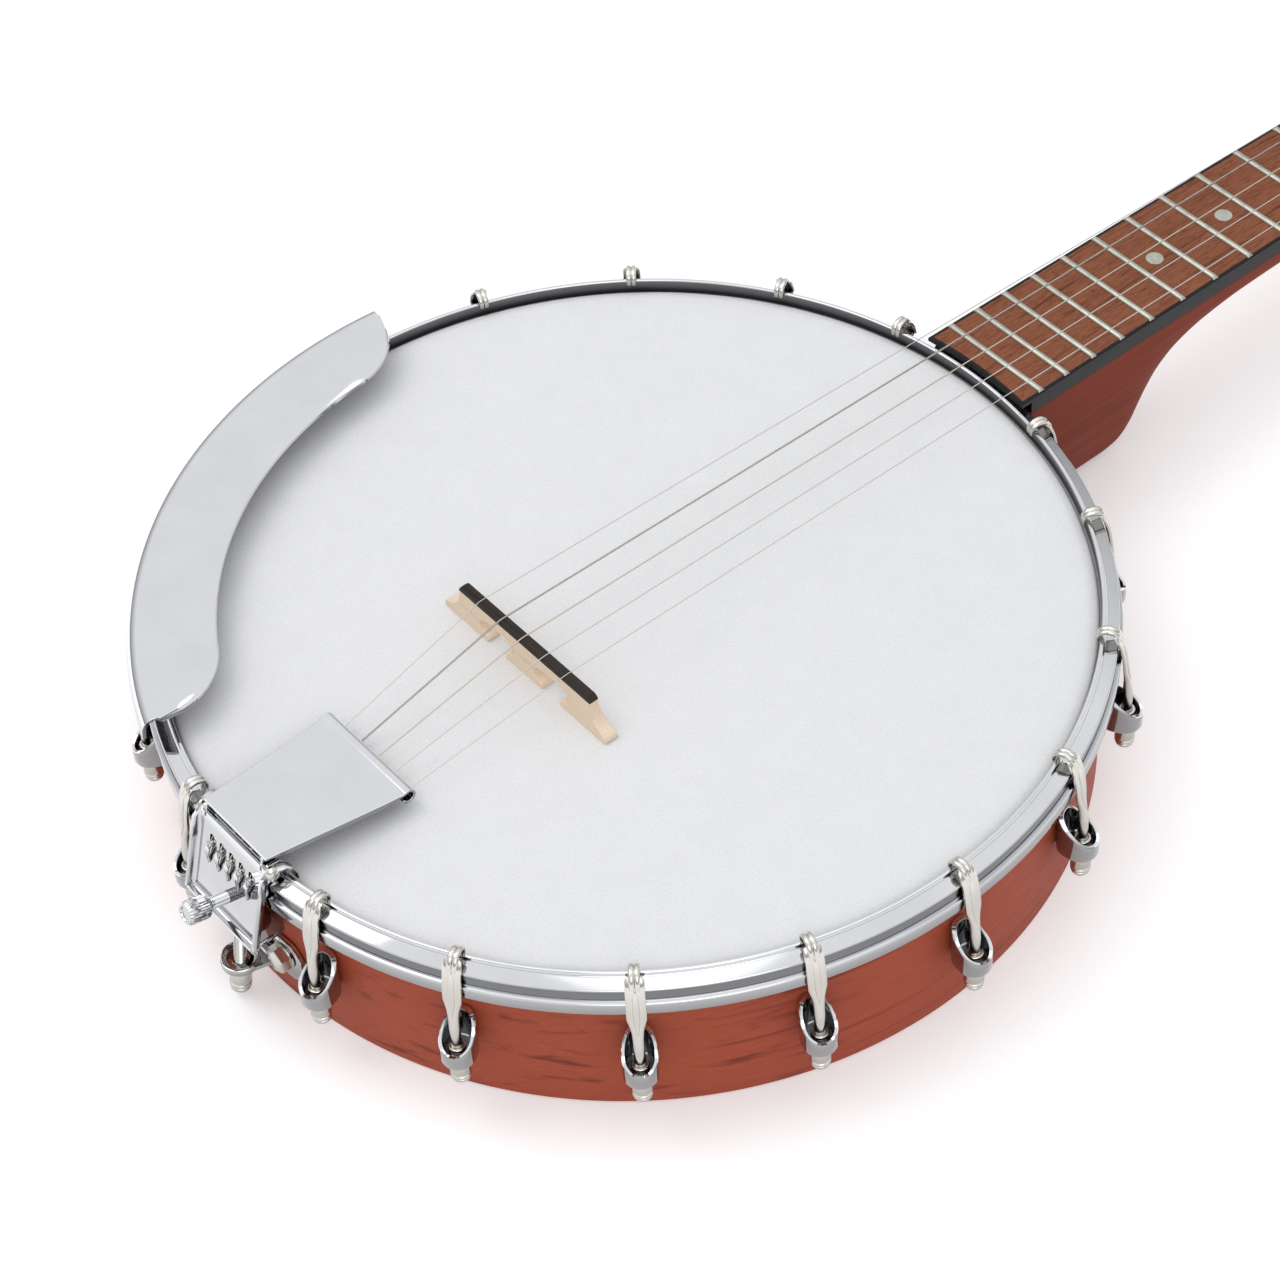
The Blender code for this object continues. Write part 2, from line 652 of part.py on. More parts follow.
def binding(frame, material):
    """A black strip along both edges of the board and round its pot end."""
    strip = outline_mesh("fingerboard_binding", board_outline(0, BOARD_START), BOARD_THICKNESS)
    obj = part("fingerboard_binding", sheared(moved(strip, (0, 0, board_top(0) - BOARD_THICKNESS / 2))),
               material, frame)
    clear_hoop(obj, "binding", 0, BOARD_LIP_BOTTOM)
    inner = outline_mesh("binding_core", [(x, y) for x, y in board_outline(BINDING, BOARD_START)], 20)
    core = part("binding_core", sheared(moved(inner, (0, 0, board_top(0)))), None, frame)
    clear_hoop(core, "core", BINDING, BOARD_LIP_BOTTOM - GAP)
    bm = bmesh.new()
    add_box(bm, (NUT_X - 3, -30, 30), (NUT_X + 5, 30, 90))
    join(core, "core_open_end", solid("core_open_end", bm, smooth=False))
    bpy.data.collections[PARTS].objects.unlink(core)
    bpy.data.collections[CUTTERS].objects.link(core)
    core.hide_render = True
    core.display_type = "WIRE"
    step = obj.modifiers.new("binding_core", "BOOLEAN")
    step.operation = "DIFFERENCE"
    step.object = core


def nut(frame, material):
    low = (NUT_X, treble_edge(NUT_X), board_top(NUT_X) - BOARD_THICKNESS)
    high = (NUT_X + 4.5, FOUR_STRING_HALF, board_top(NUT_X) + STRING_OVER_BOARD - 0.85)
    part("nut", box_mesh("nut", low, high), material, frame)


def truss_rod(frame, headstock, steel, plastic):
    height = board_top(BOARD_DATUM_X) - BOARD_THICKNESS - BOARD_SLOPE * BOARD_DATUM_X - 5
    part("truss_rod", sheared(rod_mesh("truss_rod", (216, 0, height), (NUT_X + 14, 0, height), 2.8)),
         steel, frame)
    cover = [(1, -7), (14, -8.5), (28, -6), (34, 0), (28, 6), (14, 8.5), (1, 7)]
    part("truss_rod_cover", moved(outline_mesh("truss_rod_cover", cover, 1.8), (0, 0, GAP + 0.9)),
         plastic, headstock)


# ------------------------------------------------------------------ tuners
def housing_mesh():
    """A closed gear housing with a bore for the post and one for the button's shaft."""
    length, width, height = HOUSING_SIZE
    top = -HEADSTOCK_THICKNESS - GAP
    edge = 2.0
    corners = [(length / 2, width / 2 - edge), (length / 2 - edge, width / 2)]
    corners += [(-x, y) for x, y in reversed(corners)]
    corners += [(x, -y) for x, y in reversed(corners)]
    block = moved(outline_mesh("housing", corners, height), (0, 0, top - height / 2))
    obj = part("housing", block, None, None)
    cut(obj, "post_bore", rod_mesh("post_bore", (0, 0, top - height + 3), (0, 0, top + 4),
                                   POST_RADIUS + 0.5))
    cut(obj, "shaft_bore", rod_mesh("shaft_bore", (0, 2, SHAFT_DEPTH), (0, width, SHAFT_DEPTH), 2.4))
    mesh = evaluated_mesh("housing", obj)
    for name in ("post_bore", "shaft_bore"):
        bpy.data.objects.remove(bpy.data.objects[name], do_unlink=True)
    return mesh


def button_mesh():
    """A flattened oval button on its shaft, which runs along +Y from the post's axis."""
    half_length = BUTTON_LENGTH / 2
    middle = BUTTON_REACH - half_length
    bm = bmesh.new()
    bmesh.ops.create_uvsphere(bm, u_segments=14, v_segments=8, radius=MM)
    bmesh.ops.transform(bm, verts=bm.verts, matrix=Matrix.Translation((0, middle * MM, 0))
                        @ Matrix.Diagonal((8.5, half_length, 3.6, 1.0)))
    obj = part("button", solid("button", bm), None, None)
    join(obj, "button_shaft", rod_mesh("button_shaft", (0, POST_RADIUS + 1.2, 0), (0, middle - 3, 0), 2.0, 10))
    join(obj, "button_collar", rod_mesh("button_collar", (0, HOUSING_SIZE[1] / 2 + 1.0, 0),
                                        (0, HOUSING_SIZE[1] / 2 + 3.4, 0), 3.2, 12))
    mesh = evaluated_mesh("button", obj)
    for name in ("button_shaft", "button_collar"):
        bpy.data.objects.remove(bpy.data.objects[name], do_unlink=True)
    return mesh


def tuners(headstock, chrome, pearl):
    housing = housing_mesh()
    button = button_mesh()
    bottom = -HEADSTOCK_THICKNESS - GAP - HOUSING_SIZE[2] + 3.4
    post = rod_mesh("post", (0, 0, bottom), (0, 0, POST_TOP), POST_RADIUS, 12)
    for number, (along, aside, side) in enumerate(TUNERS, 1):
        place = (along, aside * side, 0)
        turn = (0, 0, 0 if side > 0 else pi)
        part(f"tuner_{number}_housing", housing, chrome, headstock, place, turn)
        part(f"tuner_{number}_post", post, chrome, headstock, place)
        shaft = (along, aside * side, SHAFT_DEPTH)
        part(f"tuner_{number}_button", button, pearl, headstock, shaft, turn)


def fifth_peg(frame, chrome, pearl):
    """A peg that turns in the neck's side, and the bushing round it."""
    edge = bass_edge(FIFTH_PEG_X)
    origin = (FIFTH_PEG_X, 0, FIFTH_PEG_Z)
    bushing = part("fifth_peg_bushing", rod_mesh("fifth_peg_bushing", (0, edge + 0.8, 0), (0, edge + 3.2, 0),
                                                 5.2, 16), chrome, frame, origin)
    cut(bushing, "bushing_bore", rod_mesh("bushing_bore", (0, edge - 4, 0), (0, edge + 9, 0),
                                          FIFTH_PEG_RADIUS + 0.35, 16))
    bm = bmesh.new()
    bmesh.ops.create_uvsphere(bm, u_segments=14, v_segments=8, radius=MM)
    bmesh.ops.transform(bm, verts=bm.verts, matrix=Matrix.Translation((0, (edge + 20.5) * MM, 0))
                        @ Matrix.Diagonal((8.5, 6.5, 3.6, 1.0)))
    peg = part("fifth_peg", solid("fifth_peg", bm), pearl, frame, origin)
    join(peg, "peg_shaft", rod_mesh("peg_shaft", (0, 12, 0), (0, edge + 17, 0), FIFTH_PEG_RADIUS, 12))


# ------------------------------------------------------------------ bridge and strings
def bridge(frame, maple, ebony):
    top = BRIDGE_BASE_HEIGHT
    half = [(29.8, top), (31.0, 6.4), (33.4, 3.6), (37.5, 2.2), (37.5, 0), (16.3, 0), (16.3, 1.9),
            (20.4, 3.0), (21.2, 5.0), (18.6, 6.6), (12.8, 7.0), (7.2, 6.6), (4.7, 5.0), (5.4, 3.0),
            (8.3, 1.9), (8.3, 0)]
    outline = half + [(-x, y) for x, y in reversed(half)]
    base = outline_mesh("bridge", outline, BRIDGE_THICKNESS, FRONT_VIEW)
    part("bridge", base, maple, frame, (*BRIDGE_PLACE, BRIDGE_FOOT))
    low = BRIDGE_FOOT + top + GAP
    cap = [(BRIDGE_CAP_HALF, 0), (BRIDGE_CAP_HALF, 1.2), (BRIDGE_CAP_HALF - 1.4, BRIDGE_CAP_HEIGHT)]
    cap = cap + [(-x, y) for x, y in reversed(cap)]
    part("bridge_cap", outline_mesh("bridge_cap", cap, 3.2, FRONT_VIEW), ebony, frame, (*BRIDGE_PLACE, low))


def plate_x(z):
    """The slanted back plate's middle surface at a height."""
    slope = (PLATE_TOP[0] - PLATE_BOTTOM[0]) / (PLATE_TOP[1] - PLATE_BOTTOM[1])
    return PLATE_BOTTOM[0] + slope * (z - PLATE_BOTTOM[1])


def string_route(across_bridge, across_nut, number):
    """From the tailpiece's hook over its edge, under the lip, over the bridge to the nut and the post."""
    hook_y = across_bridge * 0.47
    lip_y = across_bridge * 0.78
    nut_z = board_top(NUT_X) + STRING_OVER_BOARD
    points = [(plate_x(55.5) - 1.7, hook_y, 55.5), (PLATE_TOP[0] - 1.6, hook_y, PLATE_TOP[1] + 0.2),
              (PLATE_TOP[0] - 0.4, hook_y, PLATE_TOP[1] + 0.9),
              (LIP_PLACE[0], lip_y, LIP_PLACE[1] - LIP_RADIUS - 0.6),
              (BRIDGE_PLACE[0] - 1.8, across_bridge, STRING_OVER_BRIDGE),
              (BRIDGE_PLACE[0] + 1.8, across_bridge, STRING_OVER_BRIDGE)]
    if number == 5:
        end_z = board_top(FIFTH_FRET_X) + STRING_OVER_BOARD
        edge = bass_edge(FIFTH_FRET_X)
        return points + [(FIFTH_FRET_X - 4.0, across_nut, end_z), (FIFTH_PEG_X - 6.6, edge + 0.2, end_z - 0.3),
                         (FIFTH_PEG_X - 3.6, edge + 5.4, FIFTH_PEG_Z + 1.2)]
    return points + [(NUT_X + 3.0, across_nut, nut_z)]


def strings(frame, headstock, steel):
    order = {"string_1": 3, "string_2": 2, "string_3": 1, "string_4": 0}
    for number, (name, across_bridge, across_nut, diameter) in enumerate(STRINGS, 1):
        route = string_route(across_bridge, across_nut, number)
        if name in order:
            along, aside, side = TUNERS[order[name]]
            grip = Vector((along, (aside - POST_RADIUS - 0.3 - diameter / 2) * side, 8.0)) * MM
            route.append(headstock.matrix_local @ grip / MM)
        part(name, tube_mesh(name, route, diameter / 2), steel, frame)


# ------------------------------------------------------------------ tailpiece
def tailpiece_frame(frame, chrome):
    """The back plate, its foot, the cheeks that hook over the hoop, and five string hooks."""
    (top_x, top_z), (bottom_x, bottom_z) = PLATE_TOP, PLATE_BOTTOM
    side = [(top_x, top_z), (top_x - SHEET, top_z), (bottom_x - SHEET / 2, bottom_z),
            (-140.9, bottom_z), (-140.9, bottom_z + SHEET), (bottom_x + SHEET / 2 + 0.4, bottom_z + SHEET)]
    obj = part("tailpiece_frame", outline_mesh("tailpiece_frame", side, 2 * PLATE_HALF_WIDTH, SIDE_VIEW),
               chrome, frame)
    cheek = [(bottom_x, bottom_z + 0.3), (-140.6, bottom_z + 0.3), (-140.6, HOOP_BOTTOM - 1.0),
             (-144.7, HOOP_BOTTOM - 0.7), (-144.7, 53.0), (-143.4, 54.0), (-143.4, 57.7), (-139.5, 59.5),
             (-139.3, HOOP_TOP + 0.5), (-137.4, HOOP_TOP + 0.5), (-137.1, 58.6), (-135.6, 58.6),
             (-135.8, 61.8), (-138.0, 64.2), (top_x - 0.2, top_z + 0.3), (top_x - SHEET / 2, top_z - 0.4)]
    for name, sign in (("cheek_left", 1), ("cheek_right", -1)):
        mesh = outline_mesh(name, cheek, SHEET, SIDE_VIEW)
        join(obj, name, moved(mesh, (0, sign * CHEEK_PLACE, 0)))
    bm = bmesh.new()
    for y in [across * 0.47 for _, across, _, _ in STRINGS]:
        add_box(bm, (plate_x(53.5) - 2.6, y - 0.9, 52.4), (plate_x(53.5) + 0.2, y + 0.9, 54.4))
    join(obj, "string_hooks", solid("string_hooks", bm, smooth=False))
    bm = bmesh.new()
    add_rod(bm, tail_bolt_place(bottom_z - 4), tail_bolt_place(bottom_z + 2.4), ROD_RADIUS + 0.4)
    add_rod(bm, (PIVOT[0], -30, PIVOT[1]), (PIVOT[0], 30, PIVOT[1]), PIVOT_RADIUS + 0.3)
    screw_point, screw_way = screw_line()
    add_rod(bm, screw_point - screw_way * 6, screw_point + screw_way * 6, SCREW_RADIUS + 0.35, 12)
    cut(obj, "frame_holes", solid("frame_holes", bm))
    bm = bmesh.new()
    for sign in (1, -1):
        near, far = sorted((sign * (EAR_PLACE - 1.0), sign * (EAR_PLACE + 1.0)))
        add_box(bm, (-146, near, 60.2), (-142, far, 66))
    cut(obj, "ear_slots", solid("ear_slots", bm, smooth=False))


def tail_bolt_place(z):
    """The leaning tail bolt's axis at a height."""
    (top_x, top_z), (end_x, end_z) = TAIL_BOLT_TOP, TAIL_BOLT_END
    return (top_x + (end_x - top_x) * (top_z - z) / (top_z - end_z), 0, z)


def screw_line():
    """A point on the back plate, and the thumbscrew's outward direction, square to the plate."""
    point = Vector((plate_x(SCREW_HEIGHT), 0, SCREW_HEIGHT))
    along = Vector((PLATE_TOP[0] - PLATE_BOTTOM[0], 0, PLATE_TOP[1] - PLATE_BOTTOM[1])).normalized()
    return point, Vector((-along.z, 0, along.x))


def tailpiece_cover(frame, chrome):
    """A sloping plate that opens about the pivot, with its ears and its rolled lip."""
    rear = Vector((COVER_REAR[0] - PIVOT[0], COVER_REAR[1] - PIVOT[1]))
    front = Vector((COVER_FRONT[0] - PIVOT[0], COVER_FRONT[1] - PIVOT[1]))
    length = (front - rear).length
    outline = [(0, COVER_REAR_HALF), (length, COVER_FRONT_HALF), (length, -COVER_FRONT_HALF),
               (0, -COVER_REAR_HALF)]
    plate = outline_mesh("tailpiece_cover", outline, SHEET)
    tilt = atan2(rear.y - front.y, front.x - rear.x)
    plate.transform(Matrix.Translation(Vector((rear.x, 0, rear.y)) * MM) @ Matrix.Rotation(tilt, 4, "Y"))
    obj = part("tailpiece_cover", plate, chrome, frame, (PIVOT[0], 0, PIVOT[1]))
    lip = (LIP_PLACE[0] - PIVOT[0], LIP_PLACE[1] - PIVOT[1])
    join(obj, "cover_lip", rod_mesh("cover_lip", (lip[0], -19.7, lip[1]), (lip[0], 19.7, lip[1]),
                                    LIP_RADIUS, 12))
    ear = [(-0.9, 4.0)] + arc((0, 0), 2.0, 180, 360, 6) + [(5.5, 3.6)]
    for name, sign in (("ear_left", 1), ("ear_right", -1)):
        mesh = outline_mesh(name, ear, 1.1, SIDE_VIEW)
        join(obj, name, moved(mesh, (0, sign * EAR_PLACE, 0)))
    cut(obj, "ear_bores", rod_mesh("ear_bores", (0, -20, 0), (0, 20, 0), PIVOT_RADIUS + 0.3))


def tailpiece_fasteners(frame, chrome, nickel):
    pin_end = PLATE_HALF_WIDTH + GAP
    pin = part("tailpiece_pin", rod_mesh("tailpiece_pin", (0, -pin_end - 0.3, 0), (0, pin_end + 0.3, 0),
                                         PIVOT_RADIUS, 10), nickel, frame, (PIVOT[0], 0, PIVOT[1]))
    for name, sign in (("pin_head_left", 1), ("pin_head_right", -1)):
        join(pin, name, rod_mesh(name, (0, sign * pin_end, 0), (0, sign * (pin_end + 1.6), 0), 2.3, 12, 1.7))
    point, way = screw_line()
    turn = way.to_track_quat("Z", "Y").to_euler()
    tip = (-(RIM_RADIUS + 0.6) - point.x) / way.x
    screw = part("thumbscrew", rod_mesh("thumbscrew", (0, 0, tip), (0, 0, SCREW_HEAD_START + 1), SCREW_RADIUS),
                 chrome, frame, point, turn)
    bm = bmesh.new()
    add_rod(bm, (0, 0, SCREW_HEAD_START), (0, 0, SCREW_HEAD_END), SCREW_HEAD_RADIUS, 16)
    join(screw, "screw_head", solid("screw_head", bm))
    foot = PLATE_BOTTOM[1]
    bolt = part("tail_bolt", rod_mesh("tail_bolt", tail_bolt_place(6), tail_bolt_place(foot + 2.4),
                                      ROD_RADIUS), nickel, frame)
    join(bolt, "tail_bolt_head", rod_mesh("tail_bolt_head", tail_bolt_place(foot + SHEET + 2 * GAP),
                                          tail_bolt_place(foot + 3.4), 2.7))
    join(bolt, "tail_bolt_nut", rod_mesh("tail_bolt_nut", tail_bolt_place(TAIL_BOLT_END[1]),
                                         tail_bolt_place(HANGER_SHELF - 2.3), NUT_RADIUS + 0.3))


def hanger(frame, chrome, nickel):
    """A strap on the rim's back whose eye holds the tail bolt, and its two hex screws."""
    plate = box_mesh("hanger_bracket", (-141.8, -19.5, HANGER_SHELF - 2.1), (-140.2, 19.5, 28))
    obj = part("hanger_bracket", plate, chrome, frame)
    eye = [(-140.9, 8)] + arc(tail_bolt_place(HANGER_SHELF)[:2], 5.9, 100, 260, 10) + [(-140.9, -8)]
    join(obj, "hanger_eye", moved(outline_mesh("hanger_eye", eye, 1.5), (0, 0, HANGER_SHELF - 0.75)))
    bm = bmesh.new()
    add_rod(bm, tail_bolt_place(5), tail_bolt_place(20), ROD_RADIUS + 0.4)
    for sign in (1, -1):
        y = sign * HANGER_SCREW_Y
        add_rod(bm, (-150, y, HANGER_SCREW_Z), (-130, y, HANGER_SCREW_Z), 2.3, 10)
    cut(obj, "hanger_holes", solid("hanger_holes", bm))
    for name, sign in (("hanger_screw_left", 1), ("hanger_screw_right", -1)):
        y = sign * HANGER_SCREW_Y
        screw = part(name, rod_mesh(name, (-134, y, HANGER_SCREW_Z), (-143, y, HANGER_SCREW_Z), 1.9, 10),
                     nickel, frame)
        join(screw, name + "_head", rod_mesh(name + "_head", (-142.1, y, HANGER_SCREW_Z),
                                             (-145.6, y, HANGER_SCREW_Z), 4.4, 6))


# ------------------------------------------------------------------ assembly
def build():
    clear_scene()
    wood = surface("stained_wood", (0.30, 0.075, 0.045), 0.45)
    chrome = surface("chrome", (0.82, 0.83, 0.84), 0.08, 1.0)
    nickel = surface("nickel", (0.78, 0.74, 0.68), 0.2, 1.0)
    steel = surface("steel", (0.6, 0.6, 0.6), 0.3, 1.0)
    frame = empty("banjo_frame", (POT_X, 0, 0))
    headstock = empty("headstock_frame", (HEADSTOCK_X, HEADSTOCK_Y, HEADSTOCK_Z), frame,
                      (0, radians(HEADSTOCK_TILT), 0))
    bpy.context.view_layer.update()
    rim(frame, wood)
    tone_ring(frame, surface("brass", (0.72, 0.53, 0.25), 0.3, 1.0))
    head(frame, surface("frosted_head", (0.86, 0.86, 0.86), 0.6))
    tension_hoop(frame, chrome)
    brackets(frame, nickel)
    armrest(frame, chrome)
    coordinator(frame, steel)
    neck(frame, headstock, wood)
    fingerboard(frame, surface("brown_board", (0.16, 0.065, 0.035), 0.5))
    binding(frame, surface("black_edge", (0.02, 0.02, 0.02), 0.4))
    nut(frame, surface("bone", (0.85, 0.82, 0.72), 0.4))
    truss_rod(frame, headstock, steel, surface("black_plastic", (0.02, 0.02, 0.02), 0.3))
    pearl = surface("pearl_button", (0.85, 0.83, 0.78), 0.25)
    tuners(headstock, chrome, pearl)
    fifth_peg(frame, chrome, pearl)
    bridge(frame, surface("maple", (0.75, 0.55, 0.35), 0.5), surface("ebony", (0.03, 0.025, 0.025), 0.4))
    strings(frame, headstock, steel)
    tailpiece_frame(frame, chrome)
    tailpiece_cover(frame, chrome)
    tailpiece_fasteners(frame, chrome, nickel)
    hanger(frame, chrome, nickel)


build()
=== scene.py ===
"""The looks of an open-back five-string banjo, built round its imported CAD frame.

Shapes are worked out in millimetres in pot coordinates: the origin is on the pot's axis at the back of
the rim, X runs along the neck, Y towards the fifth string and Z up out of the head. The headstock has
its own coordinates, from the nut along its face.
"""
from math import cos, pi, radians, sin, sqrt

import bmesh
import bpy
from mathutils import Matrix, Vector


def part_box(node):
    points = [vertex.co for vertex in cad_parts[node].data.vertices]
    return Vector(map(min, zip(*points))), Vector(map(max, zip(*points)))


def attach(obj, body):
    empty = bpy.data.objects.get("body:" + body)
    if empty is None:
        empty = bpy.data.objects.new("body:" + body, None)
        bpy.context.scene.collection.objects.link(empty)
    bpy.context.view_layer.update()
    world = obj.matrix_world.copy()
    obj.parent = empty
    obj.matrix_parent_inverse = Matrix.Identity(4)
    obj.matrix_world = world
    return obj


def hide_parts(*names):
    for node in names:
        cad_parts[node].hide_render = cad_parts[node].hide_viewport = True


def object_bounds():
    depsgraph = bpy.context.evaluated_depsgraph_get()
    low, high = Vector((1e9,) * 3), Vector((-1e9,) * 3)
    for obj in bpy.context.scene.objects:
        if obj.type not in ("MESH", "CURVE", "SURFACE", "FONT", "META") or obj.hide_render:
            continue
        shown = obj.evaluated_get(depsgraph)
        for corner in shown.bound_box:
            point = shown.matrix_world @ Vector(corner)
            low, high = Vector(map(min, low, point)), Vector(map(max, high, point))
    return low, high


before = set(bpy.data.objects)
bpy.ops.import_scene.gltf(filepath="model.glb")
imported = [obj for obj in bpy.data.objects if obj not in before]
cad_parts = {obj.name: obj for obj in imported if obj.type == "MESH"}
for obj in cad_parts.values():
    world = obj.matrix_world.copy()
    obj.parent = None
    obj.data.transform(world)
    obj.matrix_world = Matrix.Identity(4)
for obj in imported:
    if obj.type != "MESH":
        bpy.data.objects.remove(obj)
CAD_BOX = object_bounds()

MM = 0.001
ROOT = "banjo"


def corner(node, side):
    """A node's lowest (0) or highest (1) corner, in millimetres."""
    return [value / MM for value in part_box(node)[side]]


POT_X = (corner("rim", 0)[0] + corner("rim", 1)[0]) / 2
POT = Matrix.Translation((POT_X * MM, 0, 0))

# Pot
FINE = 288
RIM_RADIUS = corner("rim", 1)[1]
RIM_TOP = corner("rim", 1)[2]
RIM_INNER = RIM_RADIUS - 12.0
HEAD_TOP = corner("head", 1)[2]
HOOP_TOP = corner("tension_hoop", 1)[2]
HOOP_OUTER = corner("tension_hoop", 1)[1]
HOOP_BOTTOM = corner("tension_hoop", 0)[2]
STATION_ANGLES = (12.7, 30, 50, 70, 90, 110, 130, 150, 169.5,
                  -167, -149.2, -129.2, -109.6, -89.7, -69.4, -49.4, -29.6, -12.7)
SHOE_BOTTOM = 23.4
SHOE_TOP = 38.2
SHOE_LIP = 29.0
SHOE_HALF = 5.1
ROD_PLACE = 147.4
BOLT_HEIGHT = 31.0
SHOE_MIDDLE = 147.3
SHOE_BACK = 140.0
INNER_ROD_HEIGHT = 27

# Neck
SCALE_LENGTH = 666.75
NUT_X = corner("nut", 0)[0] - POT_X
SCALE_START = NUT_X - SCALE_LENGTH
BRIDGE_X = (corner("bridge", 0)[0] + corner("bridge", 1)[0]) / 2 - POT_X
BRIDGE_Y = (corner("bridge", 0)[1] + corner("bridge", 1)[1]) / 2
CAP_TOP = corner("bridge_cap", 1)[2] + 0.8
CAP_HEIGHT = 2.35
FRETS = 22
FIFTH_FRET_X = SCALE_START + SCALE_LENGTH * 2 ** (-5 / 12)
BOARD_THICKNESS = 6.0
BOARD_DATUM_X = 165.0
BOARD_DATUM_TOP = 60.4
BOARD_SLOPE = -0.015
BOARD_HALF_WIDTH = 21.0
EDGE_TAPER = 0.0058
BINDING = 1.2
HOOP_CLEAR_RADIUS = 145.6
BOARD_LIP_RADIUS = 141.4
BOARD_LIP_THICKNESS = 1.5
SHOULDER_START = FIFTH_FRET_X + 16
SHOULDER_END = FIFTH_FRET_X + 48
FOUR_STRING_HALF = 13.5

# Headstock frame
HEADSTOCK = Matrix.Translation(Vector((633.5, -2.4, 46.8)) * MM) @ Matrix.Rotation(radians(8), 4, "Y")
HEADSTOCK_LENGTH = 148.0
HEADSTOCK_THICKNESS = 13.0
TUNERS = ((45.0, 17.0, 1), (98.0, 13.0, 1), (98.0, 13.0, -1), (45.0, 17.0, -1))
SHAFT_DEPTH = -19.0
CASE_TOP = -HEADSTOCK_THICKNESS - 0.3
FIFTH_PEG_X = FIFTH_FRET_X + 11
FIFTH_PEG_Z = 43.6

# Strings: number, place across the bridge, place across the nut, diameter, tuner (0 for the fifth peg)
STRINGS = ((1, -19.7, -15.1, 0.30, 4), (2, -9.85, -6.6, 0.35, 3), (3, 0.0, 1.8, 0.45, 2),
           (4, 9.85, 10.3, 0.60, 1), (5, 19.7, 16.4, 0.30, 0))
STRING_OVER_BRIDGE = CAP_TOP + 0.1
STRING_OVER_BOARD = 1.45
WINDING_TURNS = 3.5
HOOK_SPREAD = 0.47
LIP_SPREAD = 0.78

# Tailpiece
PLATE_TOP = (-142.3, 64.4)
PLATE_BOTTOM = (-150.2, 35.5)
PLATE_HALF = 16.2
PIVOT = (-141.5, 62.5)
LIP = (-96.6, 61.9)
COVER_START = -142.2
COVER_TOP = 66.8
THUMBSCREW_HEIGHT = 42.5
TAIL_BOLT_FOOT = -150.76
TAIL_BOLT_LEAN = radians(8.63)
HANGER_SHELF = 14.5
HANGER_SCREW = (13.0, 22.0)

# Armrest
ARMREST_MIDDLE = 122.1
ARMREST_HALF_SPAN = 38.1
ARMREST_INNER = 121.6
ARMREST_BEND = 143.4
ARMREST_BEND_RADIUS = 4.4
ARMREST_TOP = 67.0
STRAP_ANGLES = (100, 140)

# Camera: place in millimetres from the pot's axis, turn in degrees, focal length
CAMERA_PLACE = (-428.04, -577.4, 818.83)
CAMERA_TURN = (42.6174, 2.8883, -39.8555)
CAMERA_LENS = 99.66


# ------------------------------------------------------------------ materials
class Paint:
    """A Principled material with helpers for its texture nodes."""

    def __init__(self, name, colour, roughness, metallic=0.0, **inputs):
        """A plain material; further inputs go by name, with _ for each space."""
        self.material = bpy.data.materials.new(name)
        self.material.use_nodes = True
        self.tree = self.material.node_tree
        self.shader = self.tree.nodes["Principled BSDF"]
        values = {"Base Color": (*colour, 1.0), "Roughness": roughness, "Metallic": metallic}
        values.update({key.replace("_", " "): value for key, value in inputs.items()})
        for key, value in values.items():
            self.shader.inputs[key].default_value = value
        self.place = self.add("ShaderNodeTexCoord", {}).outputs["Object"]

    def add(self, kind, inputs, **settings):
        """A new node, its inputs linked to sockets or set to values."""
        item = self.tree.nodes.new(kind)
        for key, value in settings.items():
            setattr(item, key, value)
        for key, value in inputs.items():
            if isinstance(value, bpy.types.NodeSocket):
                self.tree.links.new(value, item.inputs[key])
            else:
                item.inputs[key].default_value = value
        return item

    def scaled(self, scale, source=None):
        """Object coordinates, or the given ones, stretched."""
        return self.add("ShaderNodeMapping", {"Vector": source or self.place, "Scale": scale}).outputs[0]

    def noise(self, vector, scale=1.0, detail=4.0, roughness=0.5, distortion=0.0):
        """A noise texture's factor."""
        inputs = {"Vector": vector, "Scale": scale, "Detail": detail, "Roughness": roughness,
                  "Distortion": distortion}
        return self.add("ShaderNodeTexNoise", inputs).outputs[0]

    def ramp(self, factor, stops):
        """A colour ramp through (place, colour) stops."""
        item = self.add("ShaderNodeValToRGB", {0: factor})
        elements = item.color_ramp.elements
        while len(elements) < len(stops):
            elements.new(0.5)
        for element, (place, colour) in zip(elements, stops):
            element.position = place
            element.color = (*colour, 1.0)
        return item.outputs[0]

    def grey(self, factor, low, high, start=0.3, end=0.7):
        """The factor's span from start to end, mapped to low and high."""
        return self.add("ShaderNodeMapRange", {0: factor, 1: start, 2: end, 3: low, 4: high}).outputs[0]

    def multiply(self, a, b):
        """One colour multiplied by another."""
        item = self.add("ShaderNodeMix", {0: 1.0, 6: a, 7: b}, data_type="RGBA", blend_type="MULTIPLY")
        return item.outputs[2]

    def bump(self, height, strength, distance, after=None):
        """A bumped normal, over an earlier one if given."""
        inputs = {"Height": height, "Strength": strength, "Distance": distance}
        if after:
            inputs["Normal"] = after
        return self.add("ShaderNodeBump", inputs).outputs[0]

    def link(self, socket, name):
        """Joins a socket to one of the shader's inputs."""
        self.tree.links.new(socket, self.shader.inputs[name])


def around_axis(paint):
    """Object coordinates unrolled round Z: length along the rim, radius and height."""
    parts = paint.add("ShaderNodeSeparateXYZ", {0: paint.place}).outputs
    angle = paint.add("ShaderNodeMath", {0: parts[1], 1: parts[0]}, operation="ARCTAN2").outputs[0]
    length = paint.add("ShaderNodeMath", {0: angle, 1: RIM_RADIUS * MM}, operation="MULTIPLY").outputs[0]
    return paint.add("ShaderNodeCombineXYZ", {0: length, 1: parts[1], 2: parts[2]}).outputs[0]


